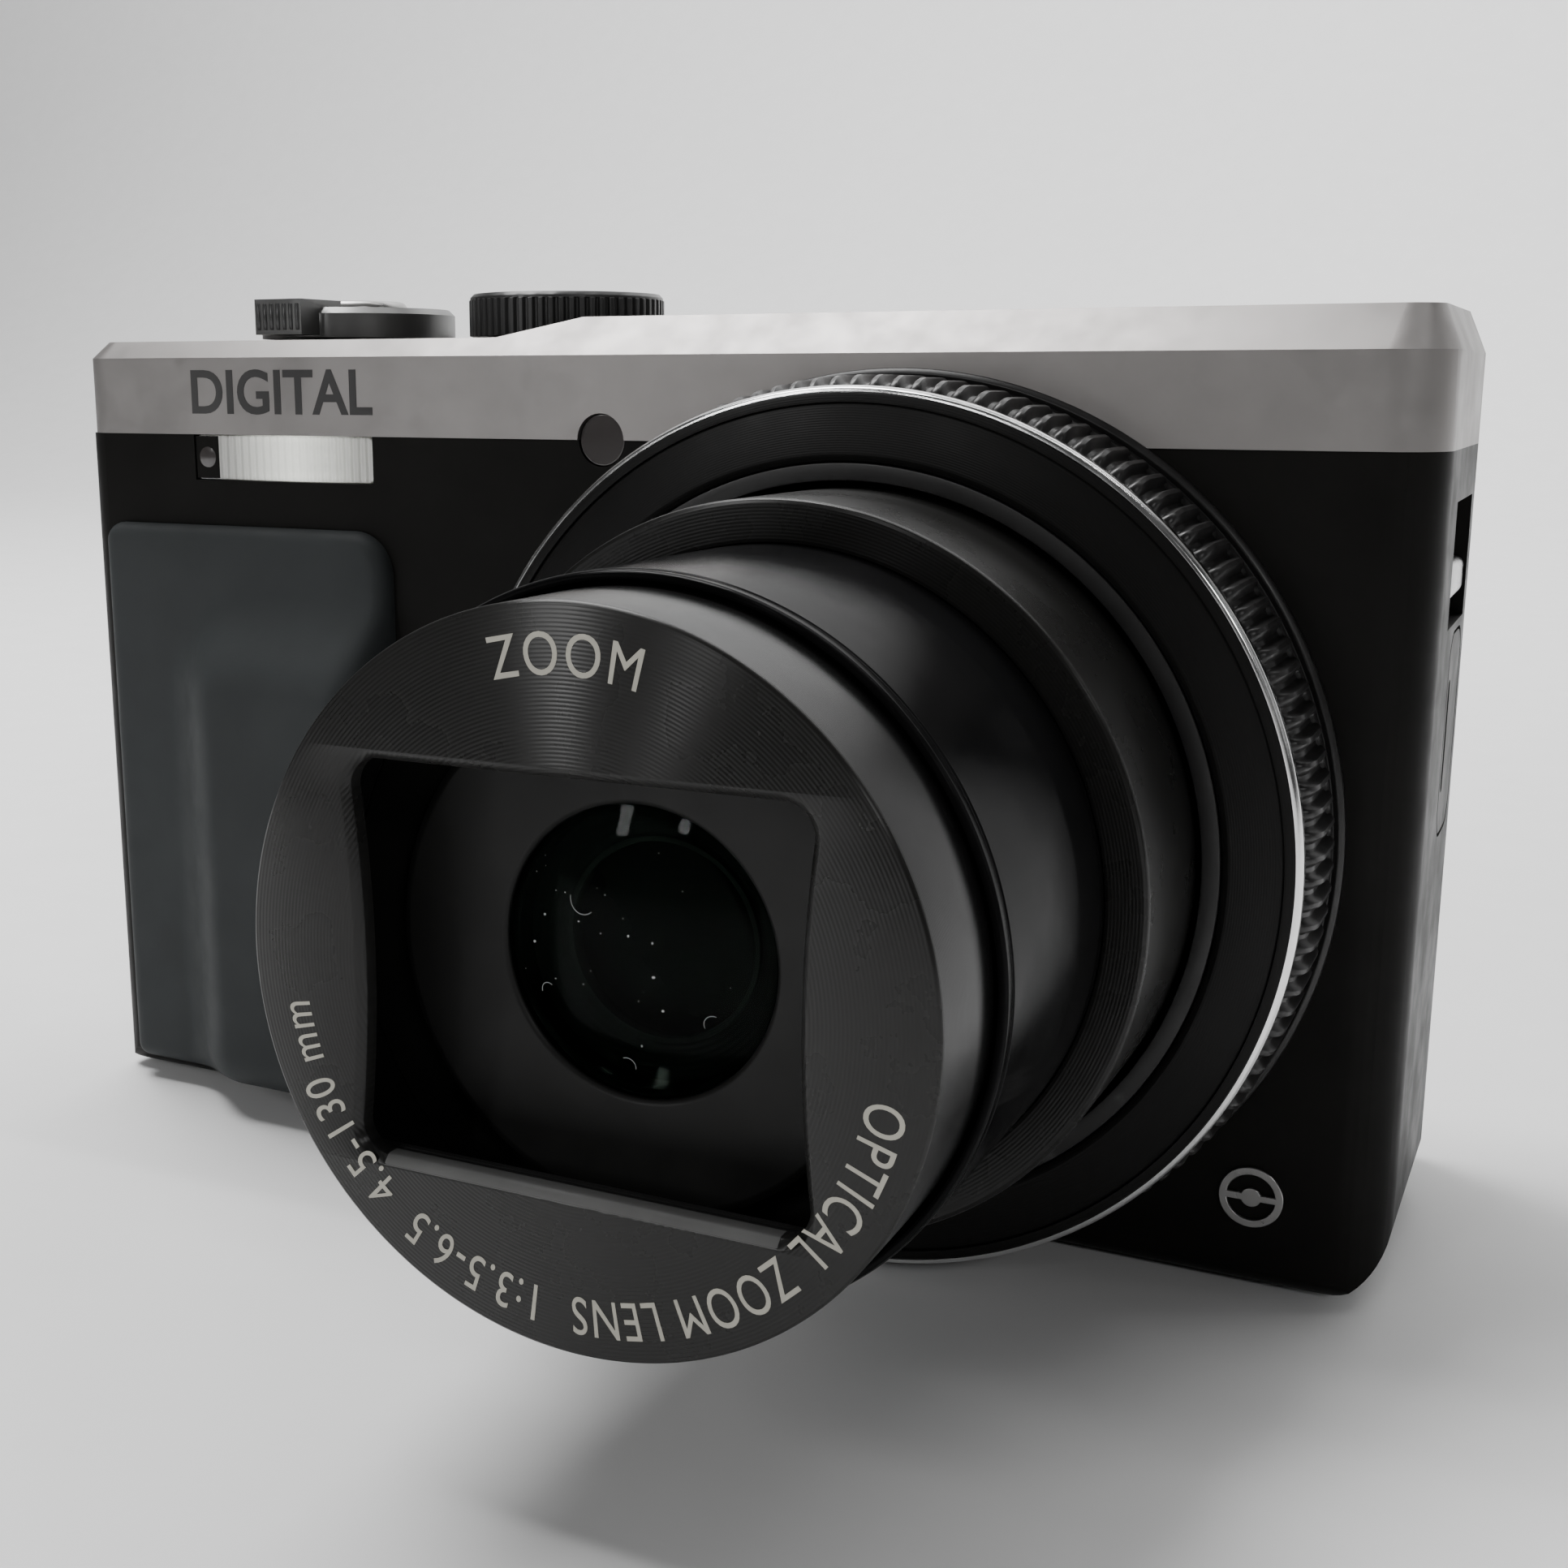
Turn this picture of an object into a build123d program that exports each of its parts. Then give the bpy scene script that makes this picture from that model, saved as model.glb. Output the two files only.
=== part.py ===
from build123d import *
import os
from math import cos, radians, sin

# Compact digital camera. Millimetres, +Z up, the lens points along -Y, the origin is on the base.

# ---- driving dimensions: case ----
CASE_W = 112.0
CASE_H = 67.3
SKIN_Y = -14.75          # front of the black front cover
FRONT_Y = -15.0          # front of the silver top cover, the datum for the lens lengths
SPLIT_Y = 6.5            # joint between front and rear covers
REAR_Y = 11.7            # rear wall behind the screen
THUMB_Y = 14.0           # rear wall of the control panel
WALL = 1.5
SEAM_Z = 58.1            # lower edge of the top cover
DECK_Z = 65.8            # lower deck under the dials
TOP_BEVEL = 2.9          # height of the bevel round the top, and its depth except at the lens end
END_BEVEL = 1.2          # depth of the bevel at the lens end
FRONT_R_GRIP = 2.4       # front corner beside the grip
TOP_R_GRIP = 3.2         # the same corner on the top cover
FRONT_R_LENS = 4.0
REAR_R = 5.0
BASE_R = 2.5             # lower front edge
FOOT_R_GRIP = 2.5
FOOT_R_LENS = 5.5
RAMP_X0 = -14.0
RAMP_X1 = -7.0
GRIP_X0, GRIP_X1 = -53.3, -23.5
GRIP_Z0, GRIP_Z1 = 1.5, 50.5
PAD_PROUD = 1.6          # flat part of the grip pad ahead of the skin
RIDGE_PROUD = 6.2        # finger ridge ahead of the skin
RIDGE_Z = 34.0           # the ridge starts to fade here
RIDGE_FADE = ((3.0, 5.9, -46.0), (5.5, 5.0, -43.5), (7.5, 3.8, -40.5), (9.0, 2.4, -38.5))
GAP = 0.3                # air between parts that move past each other
RUN = 0.06               # radial clearance of a running fit

# ---- driving dimensions: lens ----
LENS_X = 19.85
LENS_Z = 31.62
RIM_R = 31.75
RING_R = 30.7            # control ring at its front
KNURL_R = 31.3
RING_FACE = 9.5          # control ring face, ahead of the datum
SLEEVE_R = 25.6
OUTER_R = 23.9
MIDDLE_R = 21.1
NAME_R = 20.25
NAME_T = 1.3             # thickness of the name ring
OUTER_FRONT = 21.03      # barrel fronts ahead of the datum, lens fully out
MIDDLE_FRONT = 39.05
NAME_FRONT = 46.45
OUTER_LEN = 27.5
MIDDLE_LEN = 26.0
NAME_LEN = 22.0
GLASS_R = 8.43
GLASS_FRONT = 38.7
WINDOW_W = 27.0
WINDOW_H = 22.4
SEGMENT_R = 19.0         # barrier blades are segments of this circle
BLADE_EDGE = 11.4
BLADE_T = 0.35
CAM_R = 27.2
GUIDE_R_IN = 24.35       # fixed guide tube, inside the cam ring
GUIDE_R_OUT = 25.3
OUTER_BORE = 22.9
MIDDLE_BORE = 20.55
FRONT_BORE = 19.45
KNURLS = 130

# ---- driving dimensions: controls ----
DIAL_X = -14.8
DIAL_R = 8.1
DIAL_H = 2.9             # knurled part of the mode dial
LEVER_X = -36.0
LEVER_R = 8.4
BUTTON_BORE = 5.1        # bore of the zoom lever around the shutter button
POWER_X, POWER_Y = -26.2, 5.8
CONTROL_Y = -1.2
SCREEN_X0 = -23.5
SCREEN_X1 = 53.5
SCREEN_Z0 = 4.2
SCREEN_Z1 = 55.2
SCREEN_Y0 = 12.0
SCREEN_Y1 = 16.7
HINGE_Y = 15.75
HINGE_Z = 54.4
PANEL_X = -40.5          # centre of the rear controls
WHEEL_Z = 22.0
WHEEL_R = 10.5
BUTTON_R = 2.9
REAR_BUTTONS = {"playback_button": (-48.0, 37.0), "menu_button": (-33.0, 37.0),
                "delete_button": (-48.5, 7.0), "display_button": (-32.5, 7.0)}
MOVIE_X, MOVIE_Z = -32.5, 50.5
EYE_X, EYE_Z, EYE_W, EYE_H = 42.5, 61.9, 17.0, 8.2
DIOPTRE_X, DIOPTRE_Z, DIOPTRE_R = 29.6, 61.5, 3.4

LENS_AXIS = Axis((LENS_X, 0, LENS_Z), (0, 1, 0))
LENS_SECTION = Plane(origin=(LENS_X, 0, LENS_Z), x_dir=(1, 0, 0), z_dir=(0, 0, 1))

os.makedirs("parts", exist_ok=True)


def save(piece, name):
    """Label a finished piece and write its STEP file."""
    piece.part.label = name
    export_step(piece.part, f"parts/{name}.step")


def facing(y):
    """Plane across the camera at y, looking forward: positive extrusions go towards the lens."""
    return Plane.XZ.offset(-y)


def lens_plane(y):
    """Plane across the lens axis at y, with its origin on the axis."""
    return Plane(origin=(LENS_X, y, LENS_Z), x_dir=(1, 0, 0), z_dir=(0, -1, 0))


def ahead(distance):
    """Y of a point this far in front of the datum face."""
    return FRONT_Y - distance


def prism(x0, x1, y0, y1, z0, z1):
    """Plain block between two corners."""
    with BuildPart() as block:
        with BuildSketch(Plane.XY.offset(z0)):
            with Locations(((x0 + x1) / 2, (y0 + y1) / 2)):
                Rectangle(x1 - x0, y1 - y0)
        extrude(amount=z1 - z0)
    return block.part


def turned(*points):
    """Solid of revolution about the lens axis from (radius, y) points."""
    with BuildPart() as ring:
        with BuildSketch(LENS_SECTION):
            with BuildLine():
                Polyline(*points, close=True)
            make_face()
        revolve(axis=LENS_AXIS)
    return ring.part


def tube(r_in, r_out, y0, y1):
    """Plain tube on the lens axis."""
    return turned((r_in, y0), (r_out, y0), (r_out, y1), (r_in, y1))


def case_block(inset, y_front, y_rear, z_low, z_high, r_rear=0.0, r_grip=FRONT_R_GRIP):
    """Case outline drawn in by inset, between two planes across and two levels."""
    with BuildPart() as block:
        with BuildSketch(Plane.XY.offset(z_low)):
            with Locations((0, (y_front + y_rear) / 2)):
                Rectangle(CASE_W - 2 * inset, y_rear - y_front)
            front = vertices().group_by(Axis.Y)[0].sort_by(Axis.X)
            fillet(front[0], r_grip - inset)
            fillet(vertices().group_by(Axis.Y)[0].sort_by(Axis.X)[-1], FRONT_R_LENS - inset)
            if r_rear > 0:
                fillet(vertices().group_by(Axis.Y)[-1], r_rear - inset)
        extrude(amount=z_high - z_low)
        with BuildSketch(facing(y_rear)):
            with Locations((0, (z_low + z_high) / 2)):
                Rectangle(CASE_W - 2 * inset, z_high - z_low)
            if z_low < FOOT_R_GRIP:
                feet = vertices().group_by(Axis.Y)[0].sort_by(Axis.X)
                fillet(feet[0], FOOT_R_GRIP - inset)
                fillet(vertices().group_by(Axis.Y)[0].sort_by(Axis.X)[-1], FOOT_R_LENS - inset)
        extrude(amount=y_rear - y_front, mode=Mode.INTERSECT)
    return block.part


def top_outline(level, bevel, end_bevel):
    """Plan outline of the top cover at a level, drawn in by the bevel and by end_bevel at the lens end."""
    with BuildSketch(Plane.XY.offset(level)) as outline:
        with Locations(((bevel - end_bevel) / 2, (FRONT_Y + REAR_Y) / 2)):
            Rectangle(CASE_W - bevel - end_bevel, REAR_Y - FRONT_Y - 2 * bevel)
        fillet(vertices().group_by(Axis.Y)[0].sort_by(Axis.X)[0], TOP_R_GRIP - 0.85 * bevel)
        fillet(vertices().group_by(Axis.Y)[0].sort_by(Axis.X)[-1], FRONT_R_LENS - 0.6 * bevel)
        fillet(vertices().group_by(Axis.Y)[-1], REAR_R - 0.8 * bevel)
    return outline.sketch


def grip_form(depth):
    """Grip bulge, drawn in by depth: a flat pad with a finger ridge that fades out near its top."""
    with BuildPart() as form:
        add(case_block(depth - PAD_PROUD, SKIN_Y - PAD_PROUD + depth, SPLIT_Y, GRIP_Z0, GRIP_Z1))
        with BuildSketch(facing(SKIN_Y + 1.4)):
            with Locations(((GRIP_X0 + GRIP_X1) / 2, (GRIP_Z0 + GRIP_Z1 - depth) / 2)):
                Rectangle(GRIP_X1 - GRIP_X0 - 2 * depth, GRIP_Z1 - GRIP_Z0 - depth)
            fillet(vertices().group_by(Axis.Y)[-1].sort_by(Axis.X)[-1], 3.5)
        extrude(amount=6, mode=Mode.INTERSECT)
        with BuildSketch(Plane.XY.offset(GRIP_Z0)):
            with BuildLine():
                ridge_line(RIDGE_PROUD - depth, -47.0)
            make_face()
        extrude(amount=RIDGE_Z - GRIP_Z0)
        with BuildSketch(Plane.XY.offset(RIDGE_Z)):
            with BuildLine():
                ridge_line(RIDGE_PROUD - depth, -47.0)
            make_face()
        for rise, proud, left in RIDGE_FADE:
            with BuildSketch(Plane.XY.offset(RIDGE_Z + rise)):
                with BuildLine():
                    ridge_line(proud - depth, left)
                make_face()
        loft(ruled=True)
        with BuildSketch(Plane.YZ.offset(GRIP_X0 - 1)):
            with BuildLine():
                Polyline((SKIN_Y - 8, GRIP_Z0 + 4.5), (SKIN_Y - 5, GRIP_Z0 + 1.5),
                         (SKIN_Y - 1, GRIP_Z0 + 0.35), (SKIN_Y, GRIP_Z0), (SKIN_Y + 8, GRIP_Z0),
                         (SKIN_Y + 8, GRIP_Z1 + 1), (SKIN_Y - 8, GRIP_Z1 + 1), close=True)
            make_face()
        extrude(amount=GRIP_X1 - GRIP_X0 + 2, mode=Mode.INTERSECT)
    return form.part


def ridge_line(proud, left):
    """Plan outline of the finger ridge, standing proud of the skin from its left edge on."""
    right = GRIP_X1 - (RIDGE_PROUD - proud) * 0.25
    crest = SKIN_Y - proud
    start = (left, SKIN_Y)
    end = (right, SKIN_Y)
    shift = (left + 47.0) * 0.6
    flank = (-42.0 + shift, SKIN_Y - 0.42 * proud)
    shoulder = (-37.5 + shift, crest + 0.25)
    edge = (-27.6, crest + 0.3)
    Spline(start, flank, shoulder, (-33.0 + shift / 2, crest), edge, tangents=((1, -0.25), (1, 0.22)))
    Spline(edge, (-25.0, crest + 0.35 * proud), end, tangents=((1, 0.22), (0, 1)))
    Line(end, start)


def gear_outline(teeth, root, tip, foot, land):
    """Corner points of a gear or knurl: foot and land are the parts of the pitch a tooth fills."""
    pitch = 360 / teeth
    points = []
    for i in range(teeth):
        for radius, share in ((root, -foot), (tip, -land), (tip, land), (root, foot)):
            turn = radians((i + 0.5 + share / 2) * pitch)
            points.append((radius * cos(turn), radius * sin(turn)))
    return points


# ---- case: front cover, with its grip bulge, lens port, battery opening and side pockets ----
DOOR_X0, DOOR_X1 = -53.0, -15.4
DOOR_Y0, DOOR_Y1 = -12.6, 4.6
TRIPOD_X, TRIPOD_Y, TRIPOD_R = -8.2, -1.0, 5.2
FLASH_X0, FLASH_X1, FLASH_Z0 = -43.6, -25.2, 54.3
LAMP_X, LAMP_Z, LAMP_R = -4.0, 58.1, 1.95
STRAP_Y0, STRAP_Y1, STRAP_Z0, STRAP_Z1 = -6.0, 5.0, 46.0, 54.6
PORT_Y0, PORT_Y1, PORT_Z0, PORT_Z1 = -2.6, 5.4, 30.6, 45.4
BADGE_X, BADGE_Z, BADGE_R = 47.0, 7.1, 2.2
BASE_SCREWS = ((-1.0, -10.2), (44.0, -10.2))

with BuildPart() as front_block:
    add(case_block(0, SKIN_Y, SPLIT_Y, 0, SEAM_Z))
    with BuildSketch(Plane.YZ.offset(-CASE_W / 2)):
        with Locations(((SKIN_Y + SPLIT_Y) / 2, SEAM_Z / 2)):
            Rectangle(SPLIT_Y - SKIN_Y, SEAM_Z)
        fillet(vertices().group_by(Axis.Y)[0].sort_by(Axis.X)[0], BASE_R)
    extrude(amount=CASE_W, mode=Mode.INTERSECT)
front_outer = front_block.part
front_inner = case_block(WALL, SKIN_Y + WALL, SPLIT_Y + 5, WALL, SEAM_Z + 5)
grip_outer = grip_form(0)
grip_inner = grip_form(1.2)
strap_pocket = prism(CASE_W / 2 - 4.2, CASE_W / 2 - 0.2, STRAP_Y0 - 1, STRAP_Y1 + 1,
                     STRAP_Z0 - 1, STRAP_Z1 + 1)

with BuildPart() as front_cover:
    add(front_outer)
    add(front_inner, mode=Mode.SUBTRACT)
    add(strap_pocket)
    add(grip_inner)
    with BuildSketch(lens_plane(SKIN_Y + WALL + 1)):
        Circle(SLEEVE_R + 0.1)
    extrude(amount=WALL + 2, mode=Mode.SUBTRACT)
    with BuildSketch(facing(SKIN_Y + WALL + 1)):
        with Locations(((FLASH_X0 + FLASH_X1) / 2, (FLASH_Z0 + SEAM_Z + 1) / 2)):
            Rectangle(FLASH_X1 - FLASH_X0, SEAM_Z + 1 - FLASH_Z0)
        with Locations((LAMP_X, LAMP_Z)):
            Circle(LAMP_R + 0.05)
        with Locations((BADGE_X, BADGE_Z)):
            Circle(0.6)
    extrude(amount=WALL + 2, mode=Mode.SUBTRACT)
    with BuildSketch(Plane.XY):
        with Locations(((DOOR_X0 + DOOR_X1) / 2, (DOOR_Y0 + DOOR_Y1) / 2)):
            Rectangle(DOOR_X1 - DOOR_X0, DOOR_Y1 - DOOR_Y0)
        with Locations((TRIPOD_X, TRIPOD_Y)):
            Circle(TRIPOD_R)
        with Locations(*BASE_SCREWS):
            Circle(1.75)
    extrude(amount=WALL, mode=Mode.SUBTRACT)
    with Locations((CASE_W / 2, (STRAP_Y0 + STRAP_Y1) / 2, (STRAP_Z0 + STRAP_Z1) / 2)):
        Box(6, STRAP_Y1 - STRAP_Y0, STRAP_Z1 - STRAP_Z0, mode=Mode.SUBTRACT)
    with BuildSketch(Plane.YZ.offset(CASE_W / 2 - WALL - 1)):
        with Locations(((PORT_Y0 + PORT_Y1) / 2, (PORT_Z0 + PORT_Z1) / 2)):
            RectangleRounded(PORT_Y1 - PORT_Y0, PORT_Z1 - PORT_Z0, 2.4)
    extrude(amount=WALL + 2, mode=Mode.SUBTRACT)
save(front_cover, "front_cover")

with BuildPart() as grip_pad:
    add(grip_outer)
    add(grip_inner, mode=Mode.SUBTRACT)
    add(front_outer, mode=Mode.SUBTRACT)
save(grip_pad, "grip_pad")

# ---- case: top cover ----
SPINDLE_BORE = 2.1
CAP_BORE = 2.3

with BuildPart() as top_shell:
    add(case_block(0, FRONT_Y, REAR_Y, SEAM_Z, CASE_H - TOP_BEVEL, REAR_R, TOP_R_GRIP))
    lower_outline = top_outline(CASE_H - TOP_BEVEL, 0, 0)
    loft(sections=[lower_outline, top_outline(CASE_H, TOP_BEVEL, END_BEVEL)], ruled=True)
    with BuildSketch(facing(20)):
        with BuildLine():
            Polyline((-60, DECK_Z), (RAMP_X0, DECK_Z), (RAMP_X1, CASE_H), (RAMP_X1, 70), (-60, 70),
                     close=True)
        make_face()
    extrude(amount=40, mode=Mode.SUBTRACT)
    with BuildSketch(Plane.XY.offset(DECK_Z)):
        with Locations((DIAL_X, CONTROL_Y)):
            Circle(DIAL_R + 0.5)
    extrude(amount=4, mode=Mode.SUBTRACT)

with BuildPart() as top_cover:
    add(top_shell.part)
    add(case_block(WALL, FRONT_Y + WALL, REAR_Y - WALL, SEAM_Z - 1, DECK_Z - WALL, REAR_R),
        mode=Mode.SUBTRACT)
    with BuildSketch(facing(FRONT_Y + WALL + 1)):
        with Locations((LAMP_X, LAMP_Z)):
            Circle(LAMP_R + 0.05)
    extrude(amount=WALL + 2, mode=Mode.SUBTRACT)
    with BuildSketch(facing(REAR_Y + 1)):
        with Locations((EYE_X, EYE_Z)):
            Rectangle(EYE_W - 2.4, EYE_H - 2.4)
        with Locations((DIOPTRE_X, DIOPTRE_Z)):
            Circle(1.2)
    extrude(amount=WALL + 2, mode=Mode.SUBTRACT)
    with BuildSketch(Plane.XY.offset(DECK_Z - WALL - 1)):
        with Locations((LEVER_X, CONTROL_Y)):
            Circle(BUTTON_BORE + 0.1)
        with Locations((DIAL_X, CONTROL_Y)):
            Circle(SPINDLE_BORE)
        with Locations((POWER_X, POWER_Y)):
            Circle(CAP_BORE)
    extrude(amount=4, mode=Mode.SUBTRACT)
    with BuildSketch(Plane.XY.offset(CASE_H + 1)):
        with Locations((6.0, -2.0)):
            with GridLocations(2.2, 2.2, 3, 2):
                Circle(0.45)
        with Locations((33.0, -2.0)):
            with GridLocations(2.2, 2.2, 3, 2):
                Circle(0.45)
    extrude(amount=-5, mode=Mode.SUBTRACT)
save(top_cover, "top_cover")

# ---- case: rear cover with its thicker control panel ----
PANEL_X0, PANEL_X1 = -CASE_W / 2, -25.6
with BuildPart() as rear_cover:
    add(case_block(0, SKIN_Y, REAR_Y, 0, SEAM_Z, REAR_R))
    with BuildSketch(Plane.XY):
        with Locations(((PANEL_X0 + PANEL_X1) / 2 + 1.2, (SPLIT_Y + THUMB_Y) / 2)):
            Rectangle(PANEL_X1 - PANEL_X0 - 2.4, THUMB_Y - SPLIT_Y)
        fillet(vertices().group_by(Axis.Y)[-1].sort_by(Axis.X)[0], 4.5)
        fillet(vertices().group_by(Axis.Y)[-1].sort_by(Axis.X)[-1], 1.2)
    extrude(amount=SEAM_Z)
    add(case_block(WALL, SKIN_Y, REAR_Y - WALL, WALL, SEAM_Z + 5, REAR_R), mode=Mode.SUBTRACT)
    add(prism(PANEL_X0 + 5.5, PANEL_X1 - WALL, 8, THUMB_Y - WALL, 2.5, SEAM_Z + 1), mode=Mode.SUBTRACT)
    split(bisect_by=facing(SPLIT_Y), keep=Keep.BOTTOM)
    with BuildSketch(facing(THUMB_Y + 1)):
        with Locations(*REAR_BUTTONS.values()):
            Circle(BUTTON_R + 0.1)
        with Locations((MOVIE_X, MOVIE_Z)):
            Circle(2.5)
        with Locations((PANEL_X, WHEEL_Z)):
            Circle(6.2)
    extrude(amount=4, mode=Mode.SUBTRACT)
save(rear_cover, "rear_cover")

# ---- case: battery door, its latch, terminal door, strap bar, emblem, windows, thumb rest ----
with BuildPart() as battery_door:
    add(prism(DOOR_X0 + 0.3, DOOR_X1 - 3.0, DOOR_Y0 + GAP, DOOR_Y1 - GAP, 0.12, 1.4))
    fillet(battery_door.edges().filter_by(Axis.Z), 1.2)
    for y in (DOOR_Y0 + 3.4, DOOR_Y1 - 3.4):
        add(prism(DOOR_X1 - 3.4, DOOR_X1 - 0.9, y - 1.4, y + 1.4, 0.12, 1.4))
        with BuildSketch(facing(y + 1.4)):
            with Locations((DOOR_X1 - 1.6, 1.35)):
                Circle(1.2)
        extrude(amount=2.8)
    with BuildSketch(facing(DOOR_Y1)):
        with Locations((DOOR_X1 - 1.6, 1.35)):
            Circle(0.56)
    extrude(amount=DOOR_Y1 - DOOR_Y0, mode=Mode.SUBTRACT)
    add(prism(DOOR_X0 + 2.6, DOOR_X0 + 8.4, -8.2, 0.2, 0.1, 0.9), mode=Mode.SUBTRACT)
save(battery_door, "battery_door")

with BuildPart() as battery_latch:
    add(prism(DOOR_X0 + 2.9, DOOR_X0 + 6.1, -7.9, -0.1, 0.2, 0.86))
    for i in range(4):
        groove_x = DOOR_X0 + 3.3 + 0.7 * i
        add(prism(groove_x, groove_x + 0.25, -7.4, -0.6, 0.1, 0.3), mode=Mode.SUBTRACT)
save(battery_latch, "battery_latch")

with BuildPart() as door_hinge_pin:
    with BuildSketch(facing(DOOR_Y1)):
        with Locations((DOOR_X1 - 1.6, 1.35)):
            Circle(0.5)
    extrude(amount=DOOR_Y1 - DOOR_Y0)
    for y0, y1 in ((DOOR_Y0, DOOR_Y0 + 1.6), (DOOR_Y0 + 6.0, DOOR_Y1 - 6.0), (DOOR_Y1 - 1.6, DOOR_Y1)):
        add(prism(DOOR_X1 - 2.3, DOOR_X1, y0, y1, 0.9, 2.6))
        add(prism(DOOR_X1 - 2.3, DOOR_X1 + 0.9, y0, y1, WALL, 2.6))
save(door_hinge_pin, "door_hinge_pin")

with BuildPart() as terminal_door:
    with BuildSketch(Plane.YZ.offset(CASE_W / 2 - 1.3)):
        with Locations(((PORT_Y0 + PORT_Y1) / 2, (PORT_Z0 + PORT_Z1) / 2)):
            RectangleRounded(PORT_Y1 - PORT_Y0 - 0.5, PORT_Z1 - PORT_Z0 - 0.5, 2.2)
    extrude(amount=1.3)
    with BuildSketch(Plane.YZ.offset(CASE_W / 2 - 0.35)):
        with Locations((PORT_Y0 + 1.5, (PORT_Z0 + PORT_Z1) / 2)):
            RectangleRounded(0.9, 8.0, 0.4)
    extrude(amount=1, mode=Mode.SUBTRACT)
save(terminal_door, "terminal_door")

with BuildPart() as strap_bar:
    with BuildSketch(facing(STRAP_Y1)):
        with Locations((CASE_W / 2 - 0.9, STRAP_Z0 + 2.9)):
            RectangleRounded(1.4, 2.6, 0.6)
    extrude(amount=STRAP_Y1 - STRAP_Y0)
save(strap_bar, "strap_bar")

with BuildPart() as front_emblem:
    with BuildSketch(facing(SKIN_Y)):
        with Locations((BADGE_X, BADGE_Z)):
            Circle(BADGE_R)
            Circle(BADGE_R - 0.55, mode=Mode.SUBTRACT)
            Circle(0.7)
            Rectangle(2 * BADGE_R - 0.6, 0.5)
    extrude(amount=0.3)
save(front_emblem, "front_emblem")

with BuildPart() as flash_window:
    add(prism(FLASH_X0 + 0.05, FLASH_X1 - 0.05, SKIN_Y + 0.15, SKIN_Y + 1.25, FLASH_Z0 + 0.05, SEAM_Z - 0.05))
    fillet(flash_window.edges().filter_by(Axis.Y), 0.6)
save(flash_window, "flash_window")

# The flash unit's reflector, tube and storage capacitor are separate solids in one node.
with BuildPart() as flash_unit:
    with BuildSketch(Plane.YZ.offset(FLASH_X0 + 1.0)):
        with BuildLine():
            Polyline((-13.4, 54.6), (-13.4, 58.0), (-9.6, 57.3), (-9.6, 55.3), close=True)
        make_face()
        with BuildLine():
            Polyline((-13.5, 55.0), (-13.5, 57.6), (-10.0, 56.9), (-10.0, 55.7), close=True)
        make_face(mode=Mode.SUBTRACT)
    extrude(amount=FLASH_X1 - FLASH_X0 - 2.0)
    with Locations(((FLASH_X0 + FLASH_X1) / 2, -11.0, 56.3)):
        Cylinder(0.6, FLASH_X1 - FLASH_X0 - 2.0, rotation=(0, 90, 0))
    with Locations((-16.0, -8.4, 52.2)):
        Cylinder(4.0, 16.0, rotation=(0, 90, 0))
save(flash_unit, "flash_unit")

with BuildPart() as lamp_window:
    with BuildSketch(facing(SKIN_Y + WALL)):
        with Locations((LAMP_X, LAMP_Z)):
            Circle(LAMP_R)
    extrude(amount=WALL - 0.1)
save(lamp_window, "lamp_window")

with BuildPart() as thumb_rest:
    with BuildSketch(facing(THUMB_Y)):
        with Locations((-45.5, 48.5)):
            RectangleRounded(11.5, 13.0, 2.5)
    extrude(amount=-1.1)
    fillet(thumb_rest.faces().sort_by(Axis.Y)[-1].edges(), 0.6)
save(thumb_rest, "thumb_rest")

with BuildPart() as tripod_socket:
    with BuildSketch(Plane.XY.offset(0.1)):
        with Locations((TRIPOD_X, TRIPOD_Y)):
            Circle(TRIPOD_R - 0.05)
    extrude(amount=1.4)
    with BuildSketch(Plane.XY.offset(1.5)):
        with Locations((TRIPOD_X, TRIPOD_Y)):
            Circle(TRIPOD_R + 0.8)
    extrude(amount=5.5)
    with BuildSketch(Plane.XY.offset(0.1)):
        with Locations((TRIPOD_X, TRIPOD_Y)):
            Circle(3.175)
    extrude(amount=5.4, mode=Mode.SUBTRACT)
save(tripod_socket, "tripod_socket")

with BuildPart() as case_screws:
    for x, y in BASE_SCREWS:
        with BuildSketch(Plane.XY.offset(0.15)):
            with Locations((x, y)):
                Circle(1.65)
        extrude(amount=1.35)
        with BuildSketch(Plane.XY.offset(1.5)):
            with Locations((x, y)):
                Circle(0.8)
        extrude(amount=3.2)
        with BuildSketch(Plane.XY.offset(0.15)):
            with Locations((x, y)):
                Rectangle(1.7, 0.42)
                Rectangle(0.42, 1.7)
        extrude(amount=0.7, mode=Mode.SUBTRACT)
save(case_screws, "case_screws")

# ---- lens: fixed parts ----
LENS_BACK_Y = 6.6
with BuildPart() as lens_rim:
    add(turned((SLEEVE_R - 1.2, SKIN_Y), (RIM_R, SKIN_Y), (RIM_R, SKIN_Y - 0.5), (RIM_R - 0.5, SKIN_Y - 1.0),
               (SLEEVE_R + 0.02, SKIN_Y - 1.0), (SLEEVE_R, ahead(RING_FACE)),
               (SLEEVE_R - 1.2, ahead(RING_FACE))))
    add(tube(SLEEVE_R - 1.2, SLEEVE_R, SKIN_Y, SKIN_Y + 1.7))
    add(prism(LENS_X - RIM_R, LENS_X + RIM_R, FRONT_Y, SKIN_Y, SEAM_Z, CASE_H), mode=Mode.SUBTRACT)
save(lens_rim, "lens_rim")

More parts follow.
